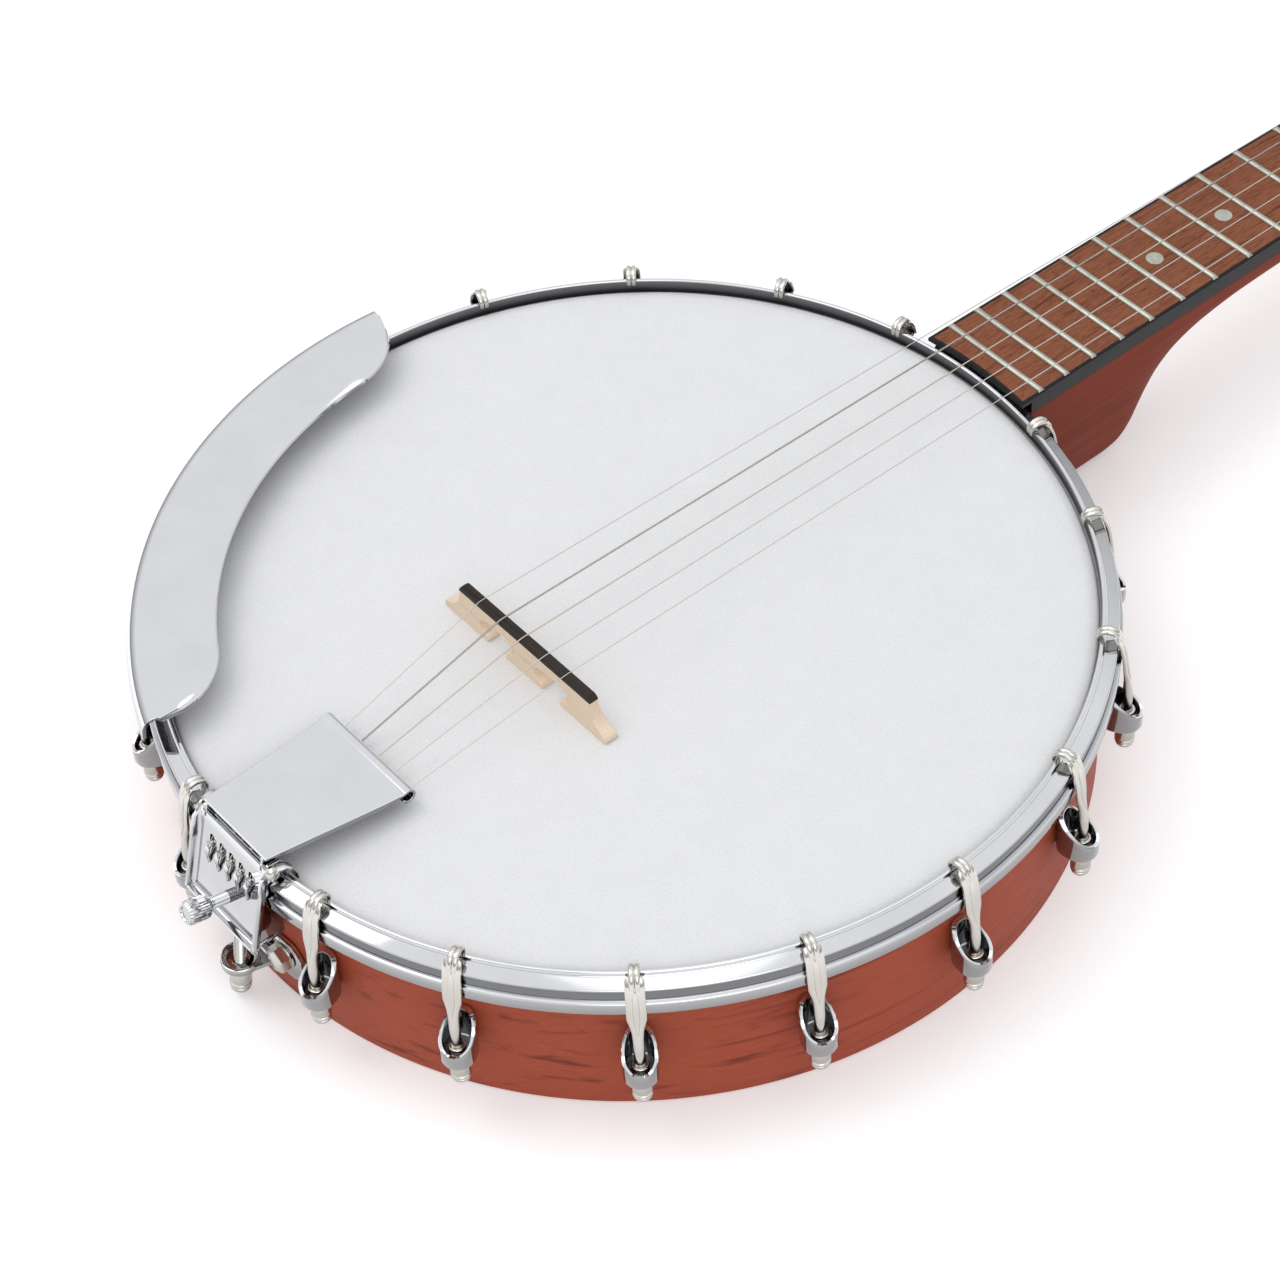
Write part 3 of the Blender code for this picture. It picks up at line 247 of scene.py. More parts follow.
def wood(name, dark, light, stretch, roughness, pores, unrolled=False):
    """Long soft streaks, finer ones over them, and short dark pores; stretch is per metre."""
    paint = Paint(name, light, roughness, Specular_IOR_Level=0.12)
    place = around_axis(paint) if unrolled else paint.place
    broad = paint.noise(paint.scaled(stretch, place), 1.0, 6.0, 0.55, 0.7)
    fine = paint.noise(paint.scaled([4.2 * s for s in stretch], place), 1.0, 4.0, 0.6, 0.2)
    pore = paint.noise(paint.scaled([9 * s for s in stretch], place), 1.0, 2.0)
    colour = paint.ramp(broad, [(0.30, dark), (0.44, light)])
    shade = paint.ramp(fine, [(0.3, (1 - 0.5 * pores,) * 3), (0.62, (1, 1, 1))])
    specks = paint.ramp(pore, [(0.34, (1 - pores,) * 3), (0.46, (1, 1, 1))])
    paint.link(paint.multiply(paint.multiply(colour, shade), specks), "Base Color")
    paint.link(paint.grey(fine, roughness + 0.08, roughness - 0.05), "Roughness")
    first = paint.bump(fine, 0.12, 0.0002)
    paint.link(paint.bump(pore, 0.25 * pores, 0.0003, first), "Normal")
    return paint.material


def metal(name, colour, roughness, spread, brushed=None, side=0.6, wave=0.03):
    """Plated metal: a slow waviness, patches that are a little less bright, and painted shade on upright and
    downward faces, down to side times the colour.
    """
    paint = Paint(name, colour, roughness, 1.0)
    patches = paint.noise(paint.place, 55.0, 5.0, 0.6)
    paint.link(paint.grey(patches, roughness, roughness + spread), "Roughness")
    tint = paint.ramp(patches, [(0.3, [c * 0.93 for c in colour]), (0.7, colour)])
    # Painted shade: the less a face's normal points up, the darker its colour, standing in for the dark
    # surroundings such faces would reflect.
    facing = paint.add("ShaderNodeTexCoord", {}).outputs["Normal"]
    upward = paint.add("ShaderNodeSeparateXYZ", {0: facing}).outputs[2]
    painted_upright_shade = paint.grey(upward, side, 1.0, -0.05, 0.6)
    tone = paint.add("ShaderNodeCombineColor", {0: painted_upright_shade, 1: painted_upright_shade, 2: painted_upright_shade}).outputs[0]
    paint.link(paint.multiply(tint, tone), "Base Color")
    height = paint.noise(paint.place, 120.0, 2.0)
    normal = paint.bump(height, wave, 0.0004)
    if brushed:
        lines = paint.noise(paint.scaled(brushed), 1.0, 2.0)
        normal = paint.bump(lines, 0.12, 0.0001, normal)
    paint.link(normal, "Normal")
    return paint.material


def frosted_film():
    """The drum head: a fine sprayed coat with faint mottling."""
    paint = Paint("frosted_head_fine", (0.80, 0.80, 0.81), 0.5, Specular_IOR_Level=0.3)
    grit = paint.noise(paint.place, 1500.0, 3.0, 0.7)
    mottle = paint.noise(paint.place, 90.0, 4.0, 0.6)
    base = paint.ramp(mottle, [(0.3, (0.80, 0.80, 0.805)), (0.7, (0.825, 0.825, 0.83))])
    speck = paint.ramp(grit, [(0.3, (0.90, 0.90, 0.90)), (0.6, (1, 1, 1))])
    paint.link(paint.multiply(base, speck), "Base Color")
    paint.link(paint.grey(grit, 0.42, 0.62), "Roughness")
    paint.link(paint.bump(grit, 0.25, 0.0002), "Normal")
    return paint.material


def plastic(name, colour, roughness, tint, coat=0.0, swirls=130.0, gloss=0.5):
    """A moulded material: soft swirls of two colours, with a faint unevenness."""
    paint = Paint(name, colour, roughness, Coat_Weight=coat, Specular_IOR_Level=gloss)
    swirl = paint.noise(paint.place, swirls, 5.0, 0.6, 1.2)
    paint.link(paint.ramp(swirl, [(0.3, tint), (0.7, colour)]), "Base Color")
    paint.link(paint.grey(swirl, roughness - 0.04, roughness + 0.08), "Roughness")
    paint.link(paint.bump(swirl, 0.05, 0.0002), "Normal")
    return paint.material


def wound_wire():
    """Fine turns of wrap wire along the string, with painted shade in the grooves between turns."""
    paint = Paint("wound_string", (0.62, 0.58, 0.52), 0.3, 1.0)
    bands = paint.add("ShaderNodeTexWave", {"Vector": paint.place, "Scale": 1100.0}).outputs[1]
    # The dark end of the ramp is painted shade in the grooves between turns.
    paint.link(paint.ramp(bands, [(0.1, (0.30, 0.27, 0.24)), (0.6, (0.66, 0.62, 0.56))]), "Base Color")
    paint.link(paint.grey(bands, 0.4, 0.25), "Roughness")
    paint.link(paint.bump(bands, 0.6, 0.0001), "Normal")
    return paint.material


RIM_WOOD = wood("stained_rim", (0.19, 0.034, 0.018), (0.37, 0.070, 0.034), (3, 60, 230), 0.5, 0.10,
                unrolled=True)
NECK_WOOD = wood("stained_neck", (0.115, 0.019, 0.009), (0.20, 0.033, 0.015), (3, 60, 60), 0.6, 0.06)
BOARD_WOOD = wood("brown_board_fine", (0.150, 0.048, 0.023), (0.31, 0.110, 0.056), (30, 620, 620),
                  0.6, 0.6)
MAPLE = wood("maple_fine", (0.75, 0.56, 0.40), (0.87, 0.70, 0.53), (90, 12, 260), 0.55, 0.05)
EBONY = wood("ebony_fine", (0.022, 0.018, 0.016), (0.046, 0.036, 0.031), (300, 12, 300), 0.55, 0.3)
# Each metal's side sets how dark the painted shade on its upright faces is.
CHROME = metal("chrome_fine", (0.86, 0.865, 0.875), 0.04, 0.04, side=0.36, wave=0.012)
# A darker copy of the chrome: painted shade for the hoop's inner wall, the step under its lip and the
# insides of the shoes.
SHADED_CHROME = metal("chrome_painted_shade", (0.60, 0.61, 0.63), 0.08, 0.06, side=0.16, wave=0.012)
NICKEL = metal("nickel_fine", (0.84, 0.81, 0.75), 0.15, 0.08, side=0.55)
STEEL = metal("steel_fine", (0.62, 0.62, 0.63), 0.26, 0.12, brushed=(20, 900, 900))
FRET_METAL = metal("fret_metal", (0.54, 0.53, 0.46), 0.34, 0.1)
BRASS = metal("brass_fine", (0.75, 0.56, 0.27), 0.22, 0.12)
PLAIN_STRING = metal("plain_string", (0.80, 0.79, 0.76), 0.25, 0.08)
GOLD_STRING = metal("bronze_string", (0.78, 0.70, 0.56), 0.28, 0.08)
WOUND_STRING = wound_wire()
FILM = frosted_film()
BLACK = plastic("black_fine", (0.014, 0.014, 0.016), 0.36, (0.008, 0.008, 0.009), gloss=0.22)
BONE = plastic("bone_fine", (0.80, 0.76, 0.64), 0.3, (0.72, 0.66, 0.52), 0.2)
PEARL = plastic("pearl_fine", (0.86, 0.85, 0.81), 0.18, (0.70, 0.69, 0.66), 0.4)
INLAY = plastic("inlay_pearl", (0.57, 0.57, 0.50), 0.3, (0.37, 0.38, 0.33), 0.1, 380.0)


# ------------------------------------------------------------------ mesh helpers
def loft(bm, rings, around=True, wrap=False, cap=True, index=0):
    """Joins rings of points, in millimetres, into one skin."""
    rows = [[bm.verts.new(Vector(point) * MM) for point in ring] for ring in rings]
    pairs = list(zip(rows, rows[1:]))
    if wrap:
        pairs.append((rows[-1], rows[0]))
    count = len(rows[0])
    faces = []
    for first, second in pairs:
        for i in range(count if around else count - 1):
            j = (i + 1) % count
            faces.append(bm.faces.new((first[i], first[j], second[j], second[i])))
    if cap and not wrap:
        faces.append(bm.faces.new(rows[0]))
        faces.append(bm.faces.new(rows[-1]))
    for face in faces:
        face.material_index = index


def rounded(outline, radius, steps=3, closed=True):
    """The outline with each corner turned into a short curve."""
    points = [Vector(p) for p in outline]
    result = []
    last = len(points) - 1
    for i, here in enumerate(points):
        if not closed and i in (0, last):
            result.append(tuple(here))
            continue
        before, after = points[i - 1], points[(i + 1) % len(points)]
        reach_a = min(radius, (before - here).length * 0.45)
        reach_b = min(radius, (after - here).length * 0.45)
        start = here + (before - here).normalized() * reach_a
        end = here + (after - here).normalized() * reach_b
        for k in range(steps + 1):
            t = k / steps
            point = start * (1 - t) ** 2 + here * 2 * t * (1 - t) + end * t ** 2
            result.append(tuple(point))
    return result


def washer(inner, outer, start, end, edge, steps=2):
    """A flat ring's section with eased edges."""
    return rounded([(inner, start), (outer, start), (outer, end), (inner, end)], edge, steps)


def thread(start, end, crest, root, pitch):
    """A screw thread's profile, as plain rings from one height down to another."""
    profile = []
    z = start
    while z > end:
        profile += [(crest, z), (root, z - pitch / 2)]
        z -= pitch
    return profile


def arc(centre, radius, start, end, steps):
    """Points on a circle between two angles in degrees."""
    turns = [radians(start + (end - start) * i / steps) for i in range(steps + 1)]
    return [(centre[0] + radius * cos(a), centre[1] + radius * sin(a)) for a in turns]


def placed(offset=(0, 0, 0), turn=0.0, axis="Z"):
    """A move after a turn, as a matrix."""
    return Matrix.Translation(Vector(offset)) @ Matrix.Rotation(turn, 4, axis)


ALONG_X = Matrix.Rotation(pi / 2, 4, "Y")
ALONG_Y = Matrix.Rotation(-pi / 2, 4, "X")


def lathe(bm, profile, steps=32, at=Matrix.Identity(4), index=0, ripple=None):
    """A profile of (radius, height) turned about Z. If it starts on the axis, it ends there too."""
    rings = []
    for i in range(steps):
        turn = 2 * pi * i / steps
        ring = []
        for r, z in profile:
            k = r * (ripple(i, z) if ripple else 1.0)
            ring.append(at @ Vector((k * cos(turn), k * sin(turn), z)))
        rings.append(ring)
    loft(bm, rings, around=profile[0][0] > 0, wrap=True, index=index)


def prism(bm, outline, half, view="XY", centre=0.0, at=Matrix.Identity(4)):
    """A flat outline given thickness: drawn in XY, XZ or YZ, centred on the third axis."""
    def point(a, b, c):
        """A place on the outline at one depth."""
        place = {"XY": (a, b, c), "XZ": (a, c, b), "YZ": (c, a, b)}[view]
        return at @ Vector(place)

    loft(bm, [[point(a, b, centre + side) for a, b in outline] for side in (-half, half)])


def sweep(bm, stations, count=16):
    """A section carried along a path, its width along Y.

    Each station is (x, y, z, half width, half thickness, power); power 2 is an ellipse."""
    side = Vector((0, 1, 0))
    rings = []
    places = [Vector(s[:3]) for s in stations]
    for i, (half_w, half_t, power) in enumerate(s[3:] for s in stations):
        way = places[min(i + 1, len(places) - 1)] - places[max(i - 1, 0)]
        up = side.cross(way).normalized()
        ring = []
        for k in range(count):
            c, s = cos(2 * pi * k / count), sin(2 * pi * k / count)
            a = half_w * abs(c) ** (2 / power) * (1 if c > 0 else -1)
            b = half_t * abs(s) ** (2 / power) * (1 if s > 0 else -1)
            ring.append(places[i] + side * a + up * b)
        rings.append(ring)
    loft(bm, rings)


def smooth_value(table, x):
    """A smooth curve through (x, value) pairs that doesn't overshoot them."""
    if x <= table[0][0]:
        return table[0][1]
    if x >= table[-1][0]:
        return table[-1][1]
    slopes = [(b[1] - a[1]) / (b[0] - a[0]) for a, b in zip(table, table[1:])]
    between = [0 if a * b <= 0 else 2 * a * b / (a + b) for a, b in zip(slopes, slopes[1:])]
    tangents = [slopes[0], *between, slopes[-1]]
    i = next(k for k in range(len(slopes)) if x <= table[k + 1][0])
    (x0, y0), (x1, y1) = table[i], table[i + 1]
    span = x1 - x0
    t = (x - x0) / span
    return (y0 * (1 + 2 * t) * (1 - t) ** 2 + y1 * t * t * (3 - 2 * t)
            + tangents[i] * span * t * (1 - t) ** 2 - tangents[i + 1] * span * t * t * (1 - t))


def finished_mesh(name, bm):
    """Turns the working mesh into a mesh whose faces all look outwards."""
    bmesh.ops.recalc_face_normals(bm, faces=bm.faces)
    mesh = bpy.data.meshes.new(name)
    bm.to_mesh(mesh)
    bm.free()
    return mesh


def in_scene(name, data):
    """A new object that holds the data, linked to the scene."""
    obj = bpy.data.objects.new(name, data)
    bpy.context.scene.collection.objects.link(obj)
    return obj


def settle(obj, nodes, body, place):
    """Places an object, hides the nodes it stands in for, and hangs it on its body."""
    obj.matrix_world = place
    if nodes:
        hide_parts(*nodes)
    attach(obj, body)
    return obj


def piece(name, bm, materials, nodes=(), body=ROOT, place=POT, crease=32):
    """Finishes a mesh as one piece of the object: placed, shaded, riding on its body."""
    bmesh.ops.remove_doubles(bm, verts=bm.verts, dist=2e-7)
    return mesh_piece(name, finished_mesh(name, bm), materials, nodes, body, place, crease)


def mesh_piece(name, mesh, materials, nodes=(), body=ROOT, place=POT, crease=32):
    """The same for a mesh that several pieces may share."""
    if not mesh.materials:
        for material in materials:
            mesh.materials.append(material)
        mesh.shade_smooth()
        mesh.set_sharp_from_angle(angle=radians(crease))
    return settle(in_scene(name, mesh), nodes, body, place)


def repaint(node, material):
    """Gives a CAD node that stays visible a material of its own."""
    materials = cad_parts[node].data.materials
    materials.clear()
    materials.append(material)


def soften(obj, width, segments=3, angle=40):
    """Rounds the piece's sharper edges."""
    step = obj.modifiers.new("Soft edges", "BEVEL")
    step.width = width * MM
    step.segments = segments
    step.limit_method = "ANGLE"
    step.angle_limit = radians(angle)
    step.harden_normals = True
    return obj


def sheet(obj, thickness):
    """Gives an open surface its metal's thickness."""
    step = obj.modifiers.new("Sheet", "SOLIDIFY")
    step.thickness = thickness * MM
    step.offset = 0
    step.use_even_offset = True
    return obj


def cut_away(obj, bm):
    """Cuts the shape out of the piece for good, and leaves no cutter behind."""
    cutter = in_scene("cutter", finished_mesh("cutter", bm))
    cutter.matrix_world = obj.matrix_world
    step = obj.modifiers.new("Cut", "BOOLEAN")
    step.operation = "DIFFERENCE"
    step.solver = "EXACT"
    step.object = cutter
    bpy.context.view_layer.update()
    source = obj.evaluated_get(bpy.context.evaluated_depsgraph_get())
    result = bpy.data.meshes.new_from_object(source)
    obj.modifiers.clear()
    obj.data = result
    bpy.data.objects.remove(cutter, do_unlink=True)
    result.shade_smooth()
    result.set_sharp_from_angle(angle=radians(32))
    return obj


def polar(radius, angle, z):
    """A point on a circle round the pot's axis."""
    return (radius * cos(radians(angle)), radius * sin(radians(angle)), z)


# ------------------------------------------------------------------ pot
def rim():
    """The wooden shell."""
    bm = bmesh.new()
    lathe(bm, rounded([(RIM_RADIUS, 0), (RIM_RADIUS, RIM_TOP), (RIM_INNER, RIM_TOP), (RIM_INNER, 0)], 1.4),
          FINE)
    piece("rim_wood", bm, [RIM_WOOD], ["rim"])


def head():
    """The drum head: flat, then stepped down and out over its own metal hoop."""
    top, under = HEAD_TOP, HEAD_TOP - 0.5
    crown = rounded([(130, top), (135.0, top), (137.6, top - 0.6), (138.3, top - 2.05), (142.5, top - 2.1),
                     (142.5, 49.7), (140.1, 49.7), (140.1, top - 3.0), (137.7, top - 2.9),
                     (136.7, under - 0.5), (134.8, under), (130, under)], 0.9, 4, False)
    bm = bmesh.new()
    lathe(bm, [(0, top), (70, top)] + crown + [(70, under), (0, under)], FINE)
    piece("head_film", bm, [FILM], ["head"], crease=50)


def tension_hoop():
    """The hoop with its raised lip, with painted shade on the inner wall and on the step under the lip."""
    profile = [(138.5, HOOP_TOP), (139.7, HOOP_TOP), (139.95, 58.9), (143.8, 57.2), (143.8, 53.0),
               (HOOP_OUTER, 52.6), (HOOP_OUTER, HOOP_BOTTOM), (142.9, HOOP_BOTTOM), (142.9, 55.0),
               (138.5, 55.0)]
    bm = bmesh.new()
    lathe(bm, rounded(profile, 0.42, 4), FINE)
    # The inner wall and the step under the lip get the darker chrome: painted shade.
    for face in bm.faces:
        x, y, z = face.calc_center_median() / MM
        radius = sqrt(x * x + y * y)
        inner_wall = radius < 138.7 and z < 59.4
        step_wall = 143.6 < radius < 144.6 and 52.4 < z < 56.9
        if inner_wall or step_wall:
            face.material_index = 1
    piece("tension_hoop_fine", bm, [CHROME, SHADED_CHROME], ["tension_hoop"], crease=40)


def stadium(half, back):
    """The shoe's outline seen from above: a round front that narrows towards the rim."""
    points = arc((SHOE_MIDDLE, 0), half, -90, 90, 18)
    for i in range(1, 20):
        turn = pi * i / 20
        points.append((SHOE_MIDDLE - (SHOE_MIDDLE - back) * sin(turn) ** 0.85,
                       half * abs(cos(turn)) ** 0.8 * (1 if i <= 10 else -1)))
    return points


def shoe_heights():
    """The top of a shoe's wall at each point of its outline: high at the rim, a low lip in front."""
    heights = []
    for x, _ in stadium(SHOE_HALF, SHOE_BACK):
        run = min(1.0, max(0.0, (x - 140.2) / 12.2))
        heights.append(SHOE_TOP - (SHOE_TOP - SHOE_LIP) * run ** 0.9)
    return heights


# The hook's middle line as radius and height, half width, half thickness and squareness
TONGUE = ((144.6, 58.6, 0.7, 0.5, 2.2), (144.0, 60.3, 0.82, 0.7, 2.2), (142.9, 61.9, 0.86, 0.8, 2.2),
          (141.7, 62.5, 0.86, 0.8, 2.2), (140.6, 62.6, 0.86, 0.76, 2.2), (139.4, 62.4, 0.84, 0.7, 2.2),
          (138.4, 61.75, 0.82, 0.62, 2.4), (137.8, 60.9, 0.8, 0.58, 2.4), (137.7, 59.9, 0.78, 0.54, 2.4),
          (137.7, 59.1, 0.7, 0.46, 2.2), (137.75, 58.8, 0.4, 0.25, 2.0))
STRAP = ((142.4, 61.5, 2.2, 0.3, 3), (142.8, 61.3, 2.5, 0.5, 3.5), (143.4, 60.6, 2.68, 0.6, 4),
         (144.1, 59.1, 2.78, 0.6, 4.5), (144.75, 57.4, 2.8, 0.6, 4.5), (145.35, 54.8, 2.8, 0.6, 4.5),
         (145.8, 52.5, 2.8, 0.6, 4.5), (146.1, 50.0, 2.85, 0.62, 4.5), (146.3, 47.9, 2.8, 0.66, 4.2),
         (146.5, 46.0, 2.35, 0.75, 3.8), (146.7, 44.4, 1.95, 0.88, 3.2), (146.95, 42.4, 1.68, 1.05, 2.8),
         (147.15, 40.2, 1.6, 1.25, 2.4), (147.3, 38.0, 1.6, 1.45, 2.1), (147.4, 36.0, 1.62, 1.6, 2),
         (147.4, 29.0, 1.65, 1.65, 2), (147.4, 15.2, 1.65, 1.65, 2), (147.4, 14.6, 1.3, 1.3, 2))
RIB = ((144.9, 58.6, 0.3, 0.1, 2), (145.45, 57.2, 0.7, 0.28, 2), (146.05, 54.6, 0.9, 0.36, 2),
       (146.5, 51.8, 0.95, 0.38, 2), (146.95, 48.0, 0.9, 0.38, 2), (147.35, 45.4, 0.7, 0.34, 2),
       (147.75, 43.4, 0.45, 0.26, 2), (148.0, 41.8, 0.2, 0.1, 2))


def hook_shape(bm):
    """A forged strap that draws down to a threaded rod, with two rounded fingers over the hoop."""
    for y in (-0.78, 0.78):
        sweep(bm, [(x, y, z, *rest) for x, z, *rest in TONGUE], count=16)
    sweep(bm, [(x, 0, z, *rest) for x, z, *rest in STRAP], count=24)
    sweep(bm, [(x, 0, z, *rest) for x, z, *rest in RIB], count=12)


NUT_PROFILE = rounded([(2.0, 9.0), (3.0, 9.0), (3.0, 3.5), (2.7, 3.35), (2.7, 3.0), (3.0, 2.85), (3.0, 2.2),
                       (2.75, 2.05), (2.75, 1.75), (2.95, 1.6), (2.6, 0.3), (2.0, 0.0)], 0.15, 2)


def shoe_shape(bm):
    """A hollow shoe: up its outside, over the wall's top and down inside to its floor, with painted shade
    inside.
    """
    tops = shoe_heights()

    def ring(half, back, z=None, below=0.0):
        """The outline at one height, or at a depth below the wall's top."""
        return [(x, y, top - below if z is None else z)
                for (x, y), top in zip(stadium(half, back), tops)]

    rings = [ring(4.4, SHOE_BACK, SHOE_BOTTOM), ring(4.85, SHOE_BACK, SHOE_BOTTOM + 0.2),
             ring(SHOE_HALF, SHOE_BACK, SHOE_BOTTOM + 0.8), ring(SHOE_HALF, SHOE_BACK, below=0.3),
             ring(SHOE_HALF - 0.2, 140.15), ring(4.15, 141.6), ring(3.95, 141.8, below=0.3),
             ring(3.95, 141.8, 27.1), ring(3.6, 142.2, 26.8)]
    before, count = len(bm.faces), len(rings[0])
    loft(bm, rings, index=1)
    bm.faces.ensure_lookup_table()
    # The inner wall and the floor get the darker chrome: painted shade inside the shoe.
    for face in [*bm.faces[before + 5 * count:before + 8 * count], bm.faces[-1]]:
        face.material_index = 2


def bracket_mesh():
    """The hook with its nut and collar, the shoe, and the washer and nut inside the rim."""
    bm = bmesh.new()
    hook_shape(bm)
    rod = placed((ROD_PLACE, 0, 0))
    lathe(bm, [(r, z + 14.5) for r, z in NUT_PROFILE], 28, rod)
    lathe(bm, washer(1.6, 2.6, 26.8, 29.6, 0.4, 3), 28, rod)
    shoe_shape(bm)
    spin = placed((0, 0, BOLT_HEIGHT)) @ ALONG_X
    lathe(bm, washer(2.6, 5.0, 127.4, 126.7, 0.2), 28, spin, index=1)
    lathe(bm, [(0, 126.7), (3.9, 126.7), (4.3, 126.3), (4.3, 124.4), (3.7, 124.05), (0, 124.05)], 6, spin,
          index=1)
    return finished_mesh("bracket", bm)


def brackets():
    """One shared mesh at each station round the rim."""
    mesh = bracket_mesh()
    for number, angle in enumerate(STATION_ANGLES, 1):
        place = POT @ Matrix.Rotation(radians(angle), 4, "Z")
        mesh_piece(f"hook_and_shoe_{number:02d}", mesh, [NICKEL, CHROME, SHADED_CHROME],
                   [f"bracket_{number:02d}"], place=place)


def armrest_section(along):
    """The sheet's section at a place from -1 to 1; its inner edge is rounded off near the ends."""
    top = ARMREST_TOP
    rounding = max(0.0, (abs(along) - 0.74) / 0.26)
    inner = ARMREST_INNER + 20.5 * (1 - sqrt(max(0.0, 1 - rounding ** 2)))
    width = ARMREST_BEND - inner
    section = [(inner, top - 1.5), (inner + 0.25, top - 0.95), (inner + 0.9, top - 0.6),
               (inner + 0.3 * width, top - 0.1), (inner + 0.65 * width, top)]
    section += arc((ARMREST_BEND, top - ARMREST_BEND_RADIUS), ARMREST_BEND_RADIUS, 90, 0, 8)
    return section + [(147.85, top - 5.4), (147.9, HOOP_TOP + 0.4)]


def armrest():
    """One curved plated sheet with a turned-down wall, on two clamps."""
    columns = 110
    rings = []
    for i in range(columns + 1):
        along = -1 + 2 * i / columns
        angle = ARMREST_MIDDLE + ARMREST_HALF_SPAN * along
        rings.append([polar(r, angle, z) for r, z in armrest_section(along)])
    bm = bmesh.new()
    loft(bm, rings, around=False, cap=False)
    obj = sheet(piece("armrest_sheet", bm, [CHROME], ["armrest"]), 1.1)
    soften(obj, 0.3, 2, 60)
    for number, angle in enumerate(STRAP_ANGLES, 1):
        armrest_clamp(number, angle)


def armrest_clamp(number, angle):
    """A strap bent in under the tension hoop, with a round screw head."""
    bm = bmesh.new()
    strap = [(140.6, 45.3), (146.9, 45.3), (147.0, 64), (145.7, 64), (145.6, 46.8), (140.6, 46.8)]
    prism(bm, rounded(strap, 0.7, 3), 4.4, "XZ")
    lathe(bm, [(0, 1.5), (1.6, 1.2), (2.4, 0.3), (2.4, -0.4), (0, -0.4)], 24,
          placed((147.1, 0, 55)) @ ALONG_X)
    clamp = piece(f"armrest_clamp_{number}", bm, [CHROME], ["armrest"],
                  place=POT @ Matrix.Rotation(radians(angle), 4, "Z"))
    soften(clamp, 0.25, 2, 60)


def coordinator_rod():
    """The rod across the inside of the pot, with its nut and washer."""
    spin = placed((0, 0, INNER_ROD_HEIGHT)) @ ALONG_X
    bm = bmesh.new()
    lathe(bm, rounded([(0, 117.8), (4.75, 117.8), (4.75, 4 - RIM_INNER), (3.0, 3 - RIM_INNER),
                       (3.0, -8 - RIM_INNER), (0, -8 - RIM_INNER)], 0.4, 2, False), 40, spin)
    lathe(bm, [(4.0, 112), (7.6, 112), (8.2, 111.4), (8.2, 105.6), (7.6, 105), (4.0, 105)], 6, spin)
    lathe(bm, washer(2.9, 9.0, 0.4 - RIM_INNER, 1.8 - RIM_INNER, 0.3), 36, spin)
    piece("coordinator_rod_fine", bm, [STEEL], ["coordinator_rod"])


def neck_bolt():
    """The bolt that holds the neck from inside the pot, with its nut and washer."""
    spin = placed((0, 0, INNER_ROD_HEIGHT)) @ ALONG_X
    bm = bmesh.new()
    lathe(bm, [(0, 118.4), (2.7, 118.4), (3.0, 118.8), (3.0, 181.6), (2.6, 182), (0, 182)], 24, spin)
    lathe(bm, [(2.9, 121), (6.9, 121), (7.5, 121.6), (7.5, 126), (2.9, 126)], 6, spin)
    lathe(bm, washer(2.9, 9.4, 126.1, RIM_INNER - 0.2, 0.3), 36, spin)
    piece("neck_bolt_fine", bm, [STEEL], ["neck_bolt"])


# ------------------------------------------------------------------ neck
def board_top(x):
    """The height of the board's upper face, which falls towards the nut."""
    return BOARD_DATUM_TOP + BOARD_SLOPE * (x - BOARD_DATUM_X)


def treble_edge(x):
    """The board's edge beside the first string."""
    return -(BOARD_HALF_WIDTH - EDGE_TAPER * (x - BOARD_DATUM_X))


def bass_edge(x):
    """The board's edge beside the fifth string, which steps in past the fifth fret."""
    full = -treble_edge(x)
    if x <= SHOULDER_START:
        return full
    along = min(1.0, (x - SHOULDER_START) / (SHOULDER_END - SHOULDER_START))
    return full + (FOUR_STRING_HALF - full) * (1 - cos(pi * along)) / 2


def board_bottom(x):
    """The height of the board's glued face."""
    return board_top(x) - BOARD_THICKNESS


BACK_END = board_top(NUT_X) - 19.5
NECK_BACK = [(134, 0.5), (186, 0.5), (193, 1.5), (198, 6), (201, 12), (206, 20.5), (214, 28.3), (226, 34),
             (242, 37.4), (262, 38.4), (NUT_X - 30, BACK_END), (NUT_X + 8, BACK_END)]
NECK_HEEL = [(134, 1.0), (190, 1.0), (198, 0.97), (201, 0.92), (206, 0.82), (214, 0.6), (226, 0.35),
             (242, 0.12), (262, 0.0), (NUT_X + 8, 0.0)]


def neck_half(half, heel, top, back, steps):
    """One side of a section, from the board's edge to under the middle."""
    row = []
    foot = 12 / half
    for i in range(steps + 1):
        t = i / steps
        turn = pi / 2 * t
        level = min(1.0, t / 0.75)
        reach = 1 - (1 - foot) * level ** 1.6 if t <= 0.75 else foot * (1 - t) / 0.25
        y = half * ((1 - heel) * cos(turn) ** 0.9 + heel * reach)
        depth = (1 - heel) * sin(turn) ** 0.85 + heel * level
        row.append([y, top - (top - back) * depth])
    for _ in range(3):
        for i in range(2, steps):
            row[i] = [(row[i - 1][k] + 2 * row[i][k] + row[i + 1][k]) / 4 for k in (0, 1)]
    return row


def neck_start(y, z):
    """The neck's end is hollowed to sit on the rim, and again round the hoop."""
    radius = RIM_RADIUS + 0.35 if z < HOOP_BOTTOM - 0.5 else HOOP_CLEAR_RADIUS
    return sqrt(radius ** 2 - y ** 2)


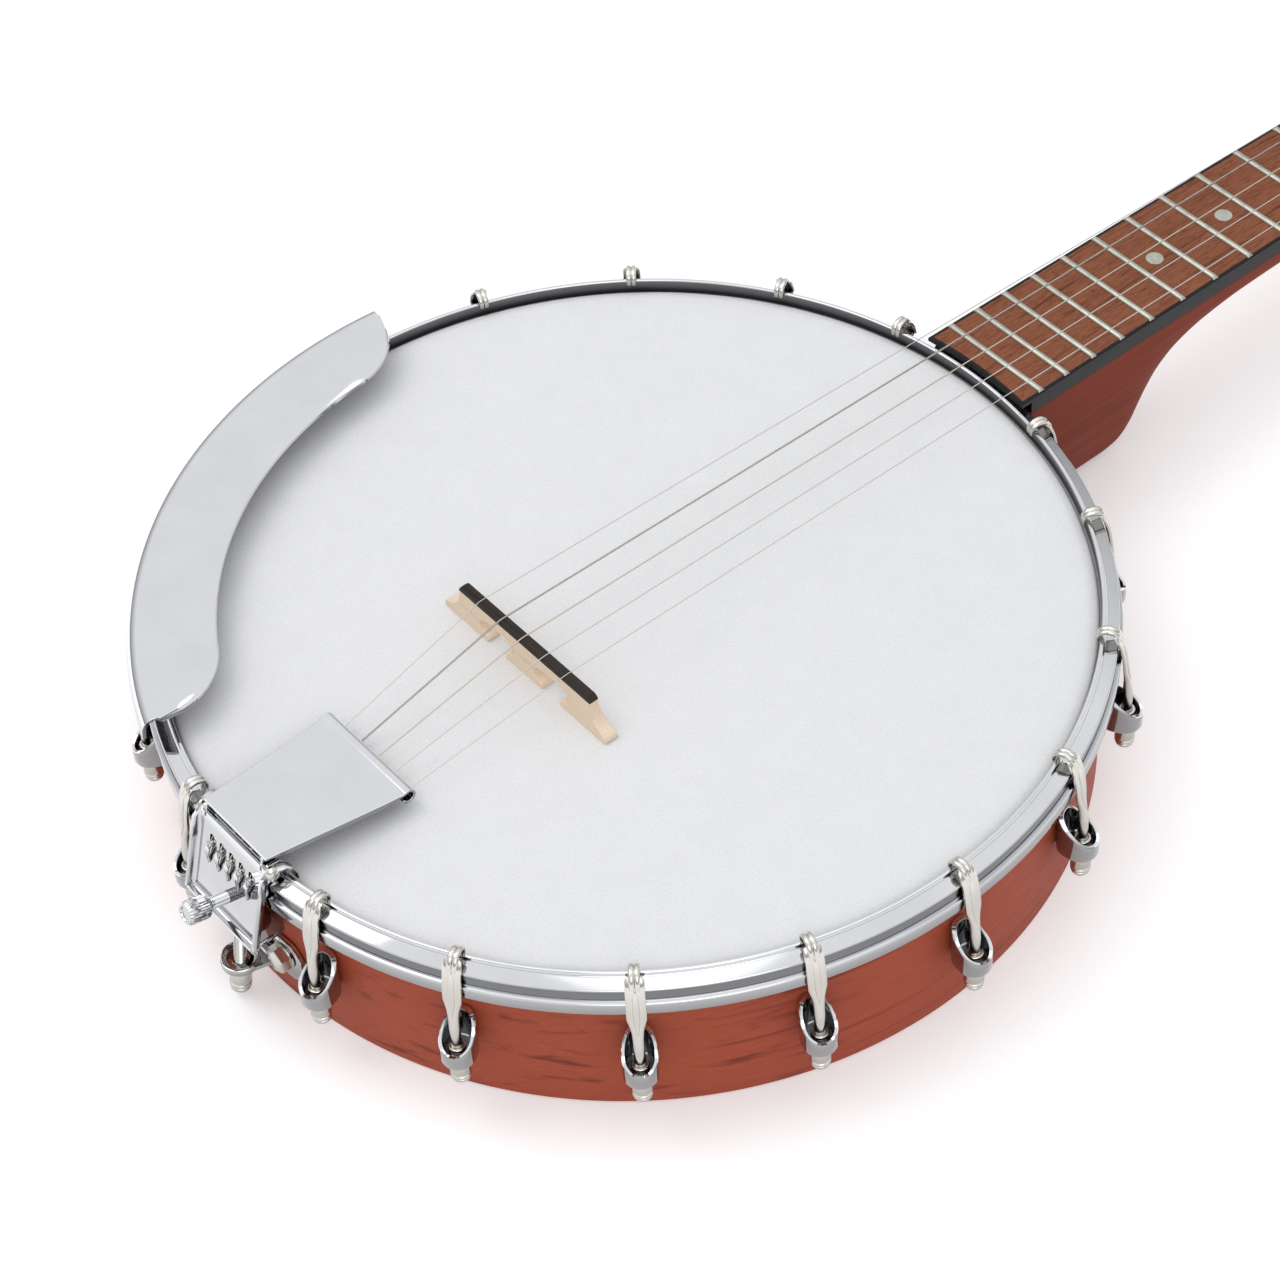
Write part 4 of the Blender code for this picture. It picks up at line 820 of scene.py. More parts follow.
def neck():
    """The neck from its heel to the nut, one section after another."""
    steps = 26
    places = [134, 150, 170, 182] + [186 + 2 * i for i in range(40)] + [270 + 14 * i for i in range(13)]
    places += [SHOULDER_START - 6 + (SHOULDER_END - SHOULDER_START + 12) * i / 24 for i in range(25)]
    places += [520, 550, 580, 605, NUT_X - 6, NUT_X + 4.4]
    rings = []
    for x in sorted(places):
        top = board_bottom(min(x, NUT_X)) - 0.05
        back, heel = smooth_value(NECK_BACK, x), smooth_value(NECK_HEEL, x)
        bass = neck_half(bass_edge(x), heel, top, back, steps)
        treble = neck_half(-treble_edge(x), heel, top, back, steps)
        outline = bass + [[-y, z] for y, z in treble[-2::-1]]
        rings.append([(neck_start(y, z) if x == 134 else x, y, z) for y, z in outline])
    bm = bmesh.new()
    loft(bm, rings)
    piece("neck_wood", bm, [NECK_WOOD], ["neck"], crease=50)


def headstock_outline(inset=0.0):
    """The headstock seen from its face."""
    half = [(-3, 15.7), (4, 16.2), (16, 22), (28, 28.5), (42, 31.5), (62, 31), (84, 29), (108, 27.5),
            (124, 26), (134, 21.5), (140, 14), (HEADSTOCK_LENGTH, 0)]
    curve = rounded([(x, y - inset) for x, y in half[:-1]] + [(HEADSTOCK_LENGTH - inset, 0)], 7, 5, False)
    return curve + [(x, -y) for x, y in reversed(curve[:-1])]


def headstock():
    """The blade behind a dark veneer, with the truss rod's cover and its screws."""
    place = POT @ HEADSTOCK
    bm = bmesh.new()
    prism(bm, headstock_outline(), (HEADSTOCK_THICKNESS - 1.5) / 2, centre=-(HEADSTOCK_THICKNESS + 1.5) / 2)
    soften(piece("headstock_blade", bm, [NECK_WOOD], place=place), 1.2, 3)
    bm = bmesh.new()
    prism(bm, headstock_outline(0.05), 0.74, centre=-0.74)
    soften(piece("headstock_veneer", bm, [EBONY], place=place), 0.4, 2)
    bm = bmesh.new()
    bell = rounded([(1.5, -7), (14, -8.8), (26, -6.5), (34, 0), (26, 6.5), (14, 8.8), (1.5, 7)], 5, 5)
    prism(bm, bell, 0.9, centre=1.2)
    for x in (5, 29):
        lathe(bm, [(0, 2.9), (1.0, 2.75), (1.6, 2.2), (1.6, 1.9), (0, 1.9)], 20, placed((x, 0, 0)), index=1)
    cover = piece("truss_rod_cover_fine", bm, [BLACK, NICKEL], ["truss_rod_cover"],
                  place=place)
    soften(cover, 0.35, 2)


def board_stations(start):
    """Places along the board, close together where its bass edge steps in."""
    shoulder = [SHOULDER_START + (SHOULDER_END - SHOULDER_START) * i / 16 for i in range(17)]
    return [start, SHOULDER_START - 60] + shoulder + [NUT_X - 0.1]


def arc_end(radius, half):
    """The concave pot end of the board, from the bass side to the treble side."""
    return [(sqrt(radius ** 2 - y ** 2), y) for y in [half - 2 * half * i / 20 for i in range(21)]]


def fret_shape(bm, x):
    """A rounded crown across the board with its ends dressed back."""
    low, high = treble_edge(x) + 0.5, bass_edge(x) - 0.5
    crown = [(-1.15, -0.3), (-1.15, 0.18), (-0.85, 0.6), (-0.4, 0.88), (0, 0.96), (0.4, 0.88), (0.85, 0.6),
             (1.15, 0.18), (1.15, -0.3)]
    rings = []
    for y, k in ((low, 0.35), (low + 0.5, 0.85), (low + 1.0, 1.0), (high - 1.0, 1.0), (high - 0.5, 0.85),
                 (high, 0.35)):
        rings.append([(x + a, y, board_top(x) + (b * k if b > 0 else b)) for a, b in crown])
    loft(bm, rings)


def fret_place(number):
    """The X of a fret; each is a semitone above the last."""
    return SCALE_START + SCALE_LENGTH * 2 ** (-number / 12)


def board_wood():
    """The board's top reaches over the hoop as a thin lip; below it the end stands clear."""
    edge = BINDING + 0.02
    half = -treble_edge(146) - edge
    stations = board_stations(150)[1:]
    sides = [(x, treble_edge(x) + edge) for x in stations]
    sides += [(x, bass_edge(x) - edge) for x in reversed(stations)]
    clear = arc_end(HOOP_CLEAR_RADIUS + edge, half) + sides
    lip = arc_end(BOARD_LIP_RADIUS + edge, half) + sides
    rings = []
    for outline, drop in ((clear, BOARD_THICKNESS - 0.05), (clear, BOARD_LIP_THICKNESS),
                          (lip, BOARD_LIP_THICKNESS), (lip, 0)):
        rings.append([(x, y, board_top(x) - drop) for x, y in outline])
    bm = bmesh.new()
    loft(bm, rings)
    piece("fingerboard_wood", bm, [BOARD_WOOD], ["fingerboard"])


def board_edge(radius, inset):
    """The binding's outline: along the bass edge, round the pot's end, and back along the treble edge."""
    stations = board_stations(150)[1:]
    bass = [(x, bass_edge(x) - inset) for x in reversed(stations)]
    treble = [(x, treble_edge(x) + inset) for x in stations]
    return bass + arc_end(radius + inset, -treble_edge(146) - inset) + treble


def board_binding():
    """The black edge round the board, one strip that follows the step under the lip."""
    outlines = [board_edge(radius, inset) for radius in (HOOP_CLEAR_RADIUS, BOARD_LIP_RADIUS)
                for inset in (0, 0.25, BINDING)]
    under = BOARD_LIP_THICKNESS + 0.03
    levels = ((0, BOARD_THICKNESS - 0.02), (0, under), (3, under), (3, 0.25), (4, 0), (5, 0), (5, under),
              (2, under), (2, BOARD_THICKNESS - 0.02))
    rings = []
    for i in range(len(outlines[0])):
        corners = [(*outlines[which][i], drop) for which, drop in levels]
        rings.append([(x, y, board_top(x) - drop) for x, y, drop in corners])
    bm = bmesh.new()
    loft(bm, rings)
    piece("board_binding_fine", bm, [BLACK], ["fingerboard_binding"])


def fingerboard():
    """The board with its edges, frets and position marks."""
    board_wood()
    board_binding()
    bm = bmesh.new()
    for number in range(1, FRETS + 1):
        fret_shape(bm, fret_place(number))
    piece("frets", bm, [FRET_METAL], crease=50)
    inlays()


def inlays():
    """Round position marks between the frets, and small dots on the bass edge."""
    bm = bmesh.new()
    radius = 2.9
    for number, y in [(n, 0.0) for n in (3, 5, 7, 10, 15, 17)] + [(12, 7.5), (12, -7.5)]:
        x = (fret_place(number) + fret_place(number - 1)) / 2
        top = board_top(x)
        lathe(bm, [(0, top + 0.04), (radius - 0.1, top + 0.04), (radius, top), (radius, top - 1),
                   (0, top - 1)], 40, placed((x, y, 0)))
    piece("board_inlays", bm, [INLAY])
    bm = bmesh.new()
    for number in (3, 5, 7, 10, 12, 15, 17, 19, 22):
        x = (fret_place(number) + fret_place(number - 1)) / 2
        at = placed((x, bass_edge(x) - 0.5, board_top(x) - 2.6)) @ ALONG_Y
        lathe(bm, [(0, 0.52), (0.9, 0.52), (1.0, 0.45), (1.0, -0.3), (0, -0.3)], 20, at)
    piece("side_dots", bm, [BONE])


def string_nut():
    """The bone nut at the headstock, with a slot for each of its four strings."""
    height = board_top(NUT_X) + STRING_OVER_BOARD - 0.5
    low = board_bottom(NUT_X)
    section = rounded([(NUT_X, low), (NUT_X + 4.5, low), (NUT_X + 4.5, height - 1.2),
                       (NUT_X + 3.0, height - 0.2), (NUT_X, height)], 0.5, 3)
    bm = bmesh.new()
    middle = (treble_edge(NUT_X) + FOUR_STRING_HALF) / 2
    prism(bm, section, (FOUR_STRING_HALF - treble_edge(NUT_X)) / 2, "XZ", middle)
    obj = soften(piece("nut_bone", bm, [BONE], ["nut"]), 0.3, 2)
    cutter = bmesh.new()
    for _, _, y, diameter, tuner in STRINGS:
        if tuner:
            prism(cutter, [(y - diameter * 0.6, height - 0.75), (y + diameter * 0.6, height - 0.75),
                           (y + diameter, height + 2), (y - diameter, height + 2)], 6, "YZ", NUT_X + 2)
    cut_away(obj, cutter)


def fifth_string_nut():
    """The small round nut that the fifth string rests on."""
    x = FIFTH_FRET_X - 5
    top = board_top(x)
    bm = bmesh.new()
    lathe(bm, [(0, top + 1.15), (0.8, top + 1.1), (1.3, top + 0.8), (1.5, top), (1.5, top - 2),
               (0, top - 2)], 24, placed((x, STRINGS[4][2], 0)))
    piece("fifth_string_nut", bm, [BONE])


# ------------------------------------------------------------------ tuners
def knob_shape(bm, middle, reach):
    """A flattened oval button whose faces are a little hollow, on a tapered neck."""
    rings = []
    for i in range(15):
        t = -1 + 2 * i / 14
        swell = max(0.02, sqrt(1 - abs(t) ** 2.6))
        ring = []
        for k in range(28):
            turn = 2 * pi * k / 28
            width = 8.5 * swell * (1 if cos(turn) > 0 else -1) * abs(cos(turn)) ** 0.85
            thick = (3.6 - 0.7 * (1 - abs(cos(turn))) * swell) * swell ** 0.7 * sin(turn)
            ring.append((width, middle + reach * t, thick))
        rings.append(ring)
    loft(bm, rings)


def button_mesh():
    """A button on its shaft, shared by the four tuners."""
    bm = bmesh.new()
    knob_shape(bm, 26.5, 7.5)
    shaft = rounded([(0, 4.2), (2.0, 4.2), (2.0, 8.5), (3.2, 8.5), (3.2, 10.9), (2.1, 11.4), (2.1, 15.5),
                     (3.0, 17.2), (3.3, 19.8), (2.4, 20.6), (0, 20.6)], 0.4, 3, False)
    lathe(bm, shaft, 32, ALONG_Y, index=1)
    lathe(bm, [(0, 34.4), (1.3, 34.2), (1.9, 33.6), (1.9, 32.5), (0, 32.5)], 24, ALONG_Y, index=1)
    return finished_mesh("button", bm)


def tuner_case(number, place):
    """The gear case behind the headstock, with its collar, its screw tab and the screw."""
    bm = bmesh.new()
    case = rounded([(8.5, -7.5), (8.5, 7.5), (-8.5, 7.5), (-8.5, -7.5)], 2.6, 5)
    lid = rounded([(7.4, -6.6), (7.4, 6.6), (-7.4, 6.6), (-7.4, -6.6)], 2.2, 5)
    top = CASE_TOP
    rings = [[(x, y, top) for x, y in case], [(x, y, top - 9.4) for x, y in case],
             [(x * 0.965, y * 0.96, top - 10.4) for x, y in case], [(x, y, top - 10.9) for x, y in lid],
             [(x * 0.3, y * 0.3, top - 11.0) for x, y in lid]]
    loft(bm, rings)
    lathe(bm, washer(2.6, 4.2, 7.2, 8.2, 0.3), 28, placed((0, 0, SHAFT_DEPTH)) @ ALONG_Y)
    tab = rounded([(-3.2, -13.2), (3.2, -13.2), (3.2, -6), (-3.2, -6)], 2.2, 5)
    prism(bm, tab, 0.6, centre=top - 0.6)
    lathe(bm, [(0, top - 2.4), (1.2, top - 2.2), (1.9, top - 1.5), (1.9, top - 1.1), (0, top - 1.1)], 20,
          placed((0, -10, 0)), index=1)
    piece(f"tuner_{number}_case", bm, [CHROME, NICKEL], [f"tuner_{number}_housing"],
          place=place)


def tuner_bushing(number, place):
    """The washer and the hex bushing on the headstock's face."""
    bm = bmesh.new()
    lathe(bm, washer(3.45, 7.0, 0.1, 0.8, 0.3), 40)
    lathe(bm, [(3.45, 0.8), (5.1, 0.8), (5.5, 1.1), (5.5, 2.6), (5.0, 3.1), (3.45, 3.1)], 6)
    piece(f"tuner_{number}_bushing", bm, [CHROME], place=place)


def tuner_post(number, place):
    """The waisted string post, with its cross hole."""
    bm = bmesh.new()
    profile = [(0, 12), (2.0, 12), (2.9, 11.4), (3.0, 10.2), (2.6, 9.2), (2.35, 8.0), (2.6, 6.6), (3.0, 5.4),
               (3.0, CASE_TOP - 7.5), (0, CASE_TOP - 7.5)]
    lathe(bm, rounded(profile, 0.8, 3, False), 36)
    name = f"tuner_{number}_post"
    post = piece(name + "_fine", bm, [CHROME], [name], name, place)
    cutter = bmesh.new()
    lathe(cutter, [(0, 5), (0.6, 5), (0.6, -5), (0, -5)], 12, placed((0, 0, 8)) @ ALONG_X)
    bmesh.ops.remove_doubles(cutter, verts=cutter.verts, dist=1e-7)
    cut_away(post, cutter)


def tuners():
    """Four geared tuners, the two on the treble side turned round to face outwards."""
    button = button_mesh()
    for number, (along, aside, side) in enumerate(TUNERS, 1):
        place = POT @ HEADSTOCK @ placed(Vector((along, aside * side, 0)) * MM, 0 if side > 0 else pi)
        tuner_case(number, place)
        tuner_bushing(number, place)
        tuner_post(number, place)
        shaft = place @ placed(Vector((0, 0, SHAFT_DEPTH)) * MM)
        name = f"tuner_{number}_button"
        mesh_piece(name + "_fine", button, [PEARL, CHROME], [name], name, shaft)


def fifth_peg():
    """The fifth string's peg in its bushing on the neck's side."""
    edge = bass_edge(FIFTH_PEG_X)
    place = POT @ placed(Vector((FIFTH_PEG_X, 0, FIFTH_PEG_Z)) * MM)
    bm = bmesh.new()
    bushing = rounded([(3.4, edge + 0.2), (5.4, edge + 0.2), (5.4, edge + 1.2), (4.7, edge + 1.6),
                       (4.7, edge + 3.0), (3.4, edge + 3.2)], 0.3, 2)
    lathe(bm, bushing, 36, ALONG_Y)
    piece("fifth_peg_bushing_fine", bm, [CHROME], ["fifth_peg_bushing"], place=place)
    bm = bmesh.new()
    knob_shape(bm, edge + 20.5, 6.5)
    shaft = rounded([(0, 12), (3.0, 12), (3.0, edge + 5), (2.4, edge + 6), (2.4, edge + 8.6),
                     (3.2, edge + 9.6), (3.2, edge + 11), (2.2, edge + 12), (2.4, edge + 15.5),
                     (0, edge + 15.5)], 0.5, 3, False)
    lathe(bm, shaft, 32, ALONG_Y, index=1)
    piece("fifth_peg_fine", bm, [PEARL, CHROME], ["fifth_peg"], "fifth_peg", place)


# ------------------------------------------------------------------ bridge and strings
def bridge():
    """A three-footed bridge that thins towards its cap."""
    height = CAP_TOP - CAP_HEIGHT - HEAD_TOP
    half = [(30.1, height), (30.5, 7.6), (31.6, 5.2), (34.2, 3.2), (37.5, 2.1), (37.5, 0), (16.6, 0),
            (16.6, 1.9), (19.9, 2.7), (21.3, 4.8), (19.6, 6.8), (15.8, 7.6), (12.8, 7.7), (9.6, 7.6),
            (5.9, 6.8), (4.6, 4.8), (5.8, 2.7), (8.6, 1.9), (8.6, 0)]
    side = rounded(half, 1.1, 3, False)
    outline = side + [(-y, z) for y, z in reversed(side)]
    rings = []
    for sign in (-1, 1):
        rings.append([(BRIDGE_X + sign * (2.4 - 0.8 * min(1.0, max(0.0, z / height))), BRIDGE_Y + y,
                       HEAD_TOP + 0.02 + z) for y, z in outline])
    bm = bmesh.new()
    loft(bm, rings)
    soften(piece("bridge_maple", bm, [MAPLE], ["bridge"]), 0.3, 2)


def bridge_cap():
    """The bridge's dark cap, with a notch for each string."""
    shoulder = CAP_HEIGHT - 0.55
    cap = rounded([(-1.6, 0), (1.6, 0), (1.6, shoulder), (1.2, CAP_HEIGHT), (-1.2, CAP_HEIGHT),
                   (-1.6, shoulder)], 0.35, 3)
    rings = []
    for y, k in ((-30.2, 0.45), (-29.6, 0.8), (-28.9, 1.0), (28.9, 1.0), (29.6, 0.8), (30.2, 0.45)):
        rings.append([(BRIDGE_X + a, BRIDGE_Y + y, CAP_TOP - CAP_HEIGHT + b * k) for a, b in cap])
    bm = bmesh.new()
    loft(bm, rings)
    obj = piece("bridge_cap_ebony", bm, [EBONY], ["bridge_cap"])
    cutter = bmesh.new()
    for _, y, _, diameter, _ in STRINGS:
        level = STRING_OVER_BRIDGE - diameter / 2
        prism(cutter, [(y - 0.45, CAP_TOP + 3), (y - 0.2, level - 0.02), (y + 0.2, level - 0.02),
                       (y + 0.45, CAP_TOP + 3)], 4, "YZ", BRIDGE_X)
    cut_away(obj, cutter)


def plate_x(z):
    """The slanted back plate's place along the banjo at one height."""
    slope = (PLATE_TOP[0] - PLATE_BOTTOM[0]) / (PLATE_TOP[1] - PLATE_BOTTOM[1])
    return PLATE_BOTTOM[0] + slope * (z - PLATE_BOTTOM[1])


def wire(name, points, radius, material, nodes=(), body=ROOT):
    """A round wire along points in pot coordinates."""
    curve = bpy.data.curves.new(name, "CURVE")
    curve.dimensions = "3D"
    curve.bevel_depth = radius * MM
    curve.bevel_resolution = 3
    curve.use_fill_caps = True
    spline = curve.splines.new("POLY")
    spline.points.add(len(points) - 1)
    for target, place in zip(spline.points, points):
        target.co = (*(Vector(place) * MM), 1.0)
    curve.materials.append(material)
    return settle(in_scene(name, curve), nodes, body, POT)


def string_route(y_bridge, y_nut, number):
    """A string's straight run: its hook, under the cover's lip, the bridge and its nut."""
    hook_y, lip_y, over = y_bridge * HOOK_SPREAD, y_bridge * LIP_SPREAD, STRING_OVER_BRIDGE
    points = [(plate_x(56.2) - 1.0, hook_y, 56.2), (plate_x(57.6) - 0.4, hook_y, 57.5),
              (plate_x(58) + 0.9, hook_y, 58.3), (-141.2, hook_y, 60.7), (-138.6, hook_y, 60.7),
              (LIP[0] - 0.8, lip_y, LIP[1] - 2.9), (LIP[0] + 0.8, lip_y, LIP[1] - 2.85),
              (BRIDGE_X - 1.4, y_bridge, over - 0.05), (BRIDGE_X, y_bridge, over),
              (BRIDGE_X + 1.4, y_bridge, over - 0.03)]
    if number == 5:
        level = board_top(FIFTH_FRET_X) + STRING_OVER_BOARD
        edge = bass_edge(FIFTH_FRET_X)
        return points + [(FIFTH_FRET_X - 6.0, y_nut - 0.05, level), (FIFTH_FRET_X - 4.0, y_nut, level),
                         (FIFTH_PEG_X - 7.4, edge - 0.6, level - 0.1),
                         (FIFTH_PEG_X - 6.2, edge + 0.7, level - 0.6),
                         (FIFTH_PEG_X - 3.3, edge + 4.6, FIFTH_PEG_Z + 1.6)]
    level = board_top(NUT_X) + STRING_OVER_BOARD
    return points + [(NUT_X + 0.6, y_nut, level), (NUT_X + 3.0, y_nut, level - 0.05),
                     (NUT_X + 4.4, y_nut, level - 0.25)]


def coil(centre, axes, radius, pitch, start):
    """Points of a winding round a post, down its third axis."""
    points = []
    for i in range(int(WINDING_TURNS * 24) + 1):
        turn = start + 2 * pi * i / 24
        points.append(centre + axes[0] * (radius * cos(turn)) + axes[1] * (radius * sin(turn))
                      - axes[2] * (pitch * i / 24))
    return points


def post_winding(tuner, diameter):
    """Where a string meets its tuner's post, and its winding there."""
    turn = HEADSTOCK.to_3x3()
    axes = [turn @ Vector(v) for v in ((1, 0, 0), (0, 1, 0), (0, 0, 1))]
    along, aside, side = TUNERS[tuner - 1]
    centre = HEADSTOCK @ (Vector((along, aside * side, 7.6)) * MM) / MM
    grip = 2.65 + diameter / 2
    meeting = centre - axes[1] * (side * grip) + axes[2] * 0.4
    return meeting, coil(centre + axes[2] * 0.4, axes, grip, diameter * 1.1, -side * pi / 2)


def peg_winding(diameter):
    """The fifth string's winding on its peg."""
    axes = [Vector(v) for v in ((-1, 0, 0), (0, 0, 1), (0, -1, 0))]
    centre = Vector((FIFTH_PEG_X, bass_edge(FIFTH_PEG_X) + 4.6, FIFTH_PEG_Z))
    return coil(centre, axes, 3.0 + diameter / 2, diameter * 1.1, 0.5)


def loop_points(y):
    """The small ring of wire that holds a string on its hook."""
    turns = [pi / 2 + 2 * pi * i / 20 for i in range(21)]
    return [(plate_x(55.2) - 1.0 - 0.5 * sin(a), y + 1.15 * cos(a), 55.0 + 1.25 * sin(a)) for a in turns]


def strings():
    """Each string, with the winding that turns with its post or peg, and its loop."""
    kinds = {1: PLAIN_STRING, 2: PLAIN_STRING, 3: GOLD_STRING, 4: WOUND_STRING, 5: PLAIN_STRING}
    for number, y_bridge, y_nut, diameter, tuner in STRINGS:
        route = [Vector(point) for point in string_route(y_bridge, y_nut, number)]
        radius, kind = diameter / 2, kinds[number]
        if tuner:
            meeting, winding = post_winding(tuner, diameter)
            route.append(meeting)
            body = f"tuner_{tuner}_post"
        else:
            winding = peg_winding(diameter)
            body = "fifth_peg"
        wire(f"string_{number}_winding", winding, radius, kind, body=body)
        wire(f"string_{number}_fine", route, radius, kind, [f"string_{number}"])
        wire(f"string_{number}_loop", loop_points(y_bridge * HOOK_SPREAD), radius + 0.05, kind)


# ------------------------------------------------------------------ tailpiece
PLATE_UP = Vector((PLATE_TOP[0] - PLATE_BOTTOM[0], 0, PLATE_TOP[1] - PLATE_BOTTOM[1])).normalized()
PLATE_OUT = Vector((-PLATE_UP.z, 0, PLATE_UP.x))


def plate_rings():
    """Points across the back plate from its foot up, its edges turned back like a tray's."""
    edge = [(0.0, 2.6), (0.0, 1.4), (0.25, 0.6), (1.0, 0.1), (2.2, 0.0)]
    across = [(PLATE_HALF - s, back) for s, back in edge] + [(y, 0.0) for y in (10, 5, 0, -5, -10)]
    across += [(s - PLATE_HALF, back) for s, back in reversed(edge)]
    base = Vector((PLATE_BOTTOM[0], 0, PLATE_BOTTOM[1]))
    length = (Vector(PLATE_TOP) - Vector(PLATE_BOTTOM)).length
    rings = []
    for s, back_s in edge + [(s, 0.0) for s in (8, 14, 20, 26, length)]:
        fade = min(1.0, (length - s) / 3)
        rings.append([base + PLATE_UP * s + Vector((0, y, 0)) + PLATE_OUT * max(back_s, back_y * fade)
                      for y, back_y in across])
    return rings


def tailpiece_plate():
    """The slanted back plate, with a slot and a punched hook for each string."""
    bm = bmesh.new()
    loft(bm, plate_rings(), around=False, cap=False)
    obj = sheet(piece("tailpiece_plate", bm, [CHROME], ["tailpiece_frame"]), 1.1)
    soften(obj, 0.25, 2, 60)
    cutter = bmesh.new()
    for _, y_bridge, _, _, _ in STRINGS:
        y = y_bridge * HOOK_SPREAD
        slot = rounded([(y - 0.9, 55.6), (y + 0.9, 55.6), (y + 0.9, 58.4), (y - 0.9, 58.4)], 0.6, 3)
        prism(cutter, slot, 5, "YZ", -146)
    cut_away(obj, cutter)
    bm = bmesh.new()
    for _, y_bridge, _, _, _ in STRINGS:
        string_hook(bm, y_bridge * HOOK_SPREAD)
    piece("tailpiece_string_hooks", bm, [CHROME])


def string_hook(bm, y):
    """A pointed leaf punched out of the plate, with its raised eye above and its tip below."""
    sweep(bm, [(plate_x(56.2) - 0.3, y, 56.2, 0.5, 0.3, 3), (plate_x(55.4) - 1.2, y, 55.5, 0.75, 0.35, 3),
               (plate_x(54) - 1.9, y, 54.0, 1.05, 0.38, 3), (plate_x(52.4) - 1.7, y, 52.4, 0.85, 0.36, 3),
               (plate_x(51.2) - 1.2, y, 51.2, 0.6, 0.34, 3), (plate_x(50) - 1.0, y, 50.0, 0.85, 0.3, 3),
               (plate_x(48.6) - 0.9, y, 48.6, 0.2, 0.2, 2)], count=14)


def tailpiece_cheeks():
    """Two cheeks that hook over the hoop, and the foot that the tail bolt holds."""
    cheek = rounded([(PLATE_BOTTOM[0] + 0.2, PLATE_BOTTOM[1]), (-140.6, PLATE_BOTTOM[1]), (-140.6, 47.3),
                     (-144.7, 47.6), (-144.7, 53.0), (-143.4, 54.0), (-143.4, 57.7), (-139.5, 59.5),
                     (-139.3, 60.5), (-137.4, 60.5), (-137.1, 58.6), (-135.6, 58.6), (-135.8, 61.8),
                     (-138.0, 64.4), (PLATE_TOP[0], 64.8), (PLATE_TOP[0] - 0.5, 63.8)], 0.7, 3)
    bm = bmesh.new()
    for y in (-15.0, 15.0):
        prism(bm, cheek, 0.55, "XZ", y)
    soften(piece("tailpiece_cheeks", bm, [CHROME]), 0.2, 2, 60)
    bm = bmesh.new()
    for side in (-1, 1):
        arm = [(-142.6, 15.9, 60.6), (-142.0, 16.1, 62.6), (-140.4, 16.5, 63.9), (-138.4, 17.1, 63.9),
               (-136.6, 17.7, 62.8), (-135.7, 18.1, 60.8), (-135.6, 18.2, 58.6)]
        sweep(bm, [(x, side * y, z, 1.9, 0.45, 3.5) for x, y, z in arm], count=20)
    piece("tailpiece_hoop_arms", bm, [CHROME])
    bm = bmesh.new()
    foot = rounded([(PLATE_BOTTOM[0], 16.0), (-140.8, 16.0), (-140.8, -16.0), (PLATE_BOTTOM[0], -16.0)],
                   1.0, 3)
    prism(bm, foot, 0.6, centre=PLATE_BOTTOM[1] + 0.6)
    soften(piece("tailpiece_foot", bm, [CHROME]), 0.25, 2, 60)


def cover_half(x):
    """Half the cover's width, which grows towards its lip."""
    return 14.9 + 4.4 * min(1.0, (x - COVER_START) / 43)


def tailpiece_cover():
    """The sloping cover, its lip curled under."""
    path = [(COVER_START, COVER_TOP), (-138, 66.45), (-128, 65.6), (-116, 64.5), (-104, 63.45),
            (-100, 63.25), (-98.6, 63.5), *arc(LIP, 1.95, 118, -165, 16)]
    rings = []
    for x, z in path:
        half = cover_half(x) + (0.35 if x > -99 else 0)
        rings.append([(x, half * (-1 + k / 8), z) for k in range(17)])
    bm = bmesh.new()
    loft(bm, rings, around=False, cap=False)
    obj = piece("tailpiece_cover_sheet", bm, [CHROME], ["tailpiece_cover"],
                "tailpiece_cover")
    sheet(obj, 0.9)
    soften(obj, 0.25, 2, 60)


def tailpiece_cover_edges():
    """The cover's side flanges, and the ears that hang it on its pin."""
    bm = bmesh.new()
    for side in (-1, 1):
        rings = []
        for i in range(9):
            x = -139.5 + 39.5 * i / 8
            middle = cover_half(x) - 0.45
            inner, outer = side * (middle - 0.4), side * (middle + 0.4)
            top = COVER_TOP - (x - COVER_START) * 0.0893
            low = top - 1.7 * min(1.0, (i + 0.6) / 1.4, (8.6 - i) / 1.4)
            rings.append([(x, inner, top), (x, outer, top), (x, outer, low + 0.2), (x, side * middle, low),
                          (x, inner, low + 0.2)])
        loft(bm, rings)
        ear = [(PIVOT[0] - 0.9, PIVOT[1] + 4.1), *arc(PIVOT, 2.0, 180, 360, 14),
               (PIVOT[0] + 5.5, PIVOT[1] + 3.7)]
        prism(bm, ear, 0.5, "XZ", side * 13.3)
    soften(piece("tailpiece_cover_edges", bm, [CHROME], (), "tailpiece_cover"), 0.15, 2, 60)


def slotted_head(bm, cutter, at):
    """A round screw head, with the cutter for its slot."""
    lathe(bm, [(0, 1.6), (1.0, 1.5), (1.8, 1.15), (2.3, 0.5), (2.3, 0.0), (0, 0.0)], 32, at)
    prism(cutter, [(-3, 0.8), (3, 0.8), (3, 3), (-3, 3)], 0.3, "XZ", at=at)


def tailpiece_pin():
    """The cover's pin, with a slotted head at each end."""
    bm, cutter = bmesh.new(), bmesh.new()
    for side in (1, -1):
        outwards = ALONG_Y if side > 0 else ALONG_Y.inverted()
        at = placed((PIVOT[0], side * (PLATE_HALF + 0.25), PIVOT[1])) @ outwards
        slotted_head(bm, cutter, at @ Matrix.Rotation(0.7, 4, "Z"))
    lathe(bm, [(0, 16.6), (1.0, 16.6), (1.0, -16.6), (0, -16.6)], 20,
          placed((PIVOT[0], 0, PIVOT[1])) @ ALONG_Y)
    bmesh.ops.remove_doubles(bm, verts=bm.verts, dist=2e-7)
    cut_away(piece("tailpiece_pin_fine", bm, [NICKEL], ["tailpiece_pin"]), cutter)


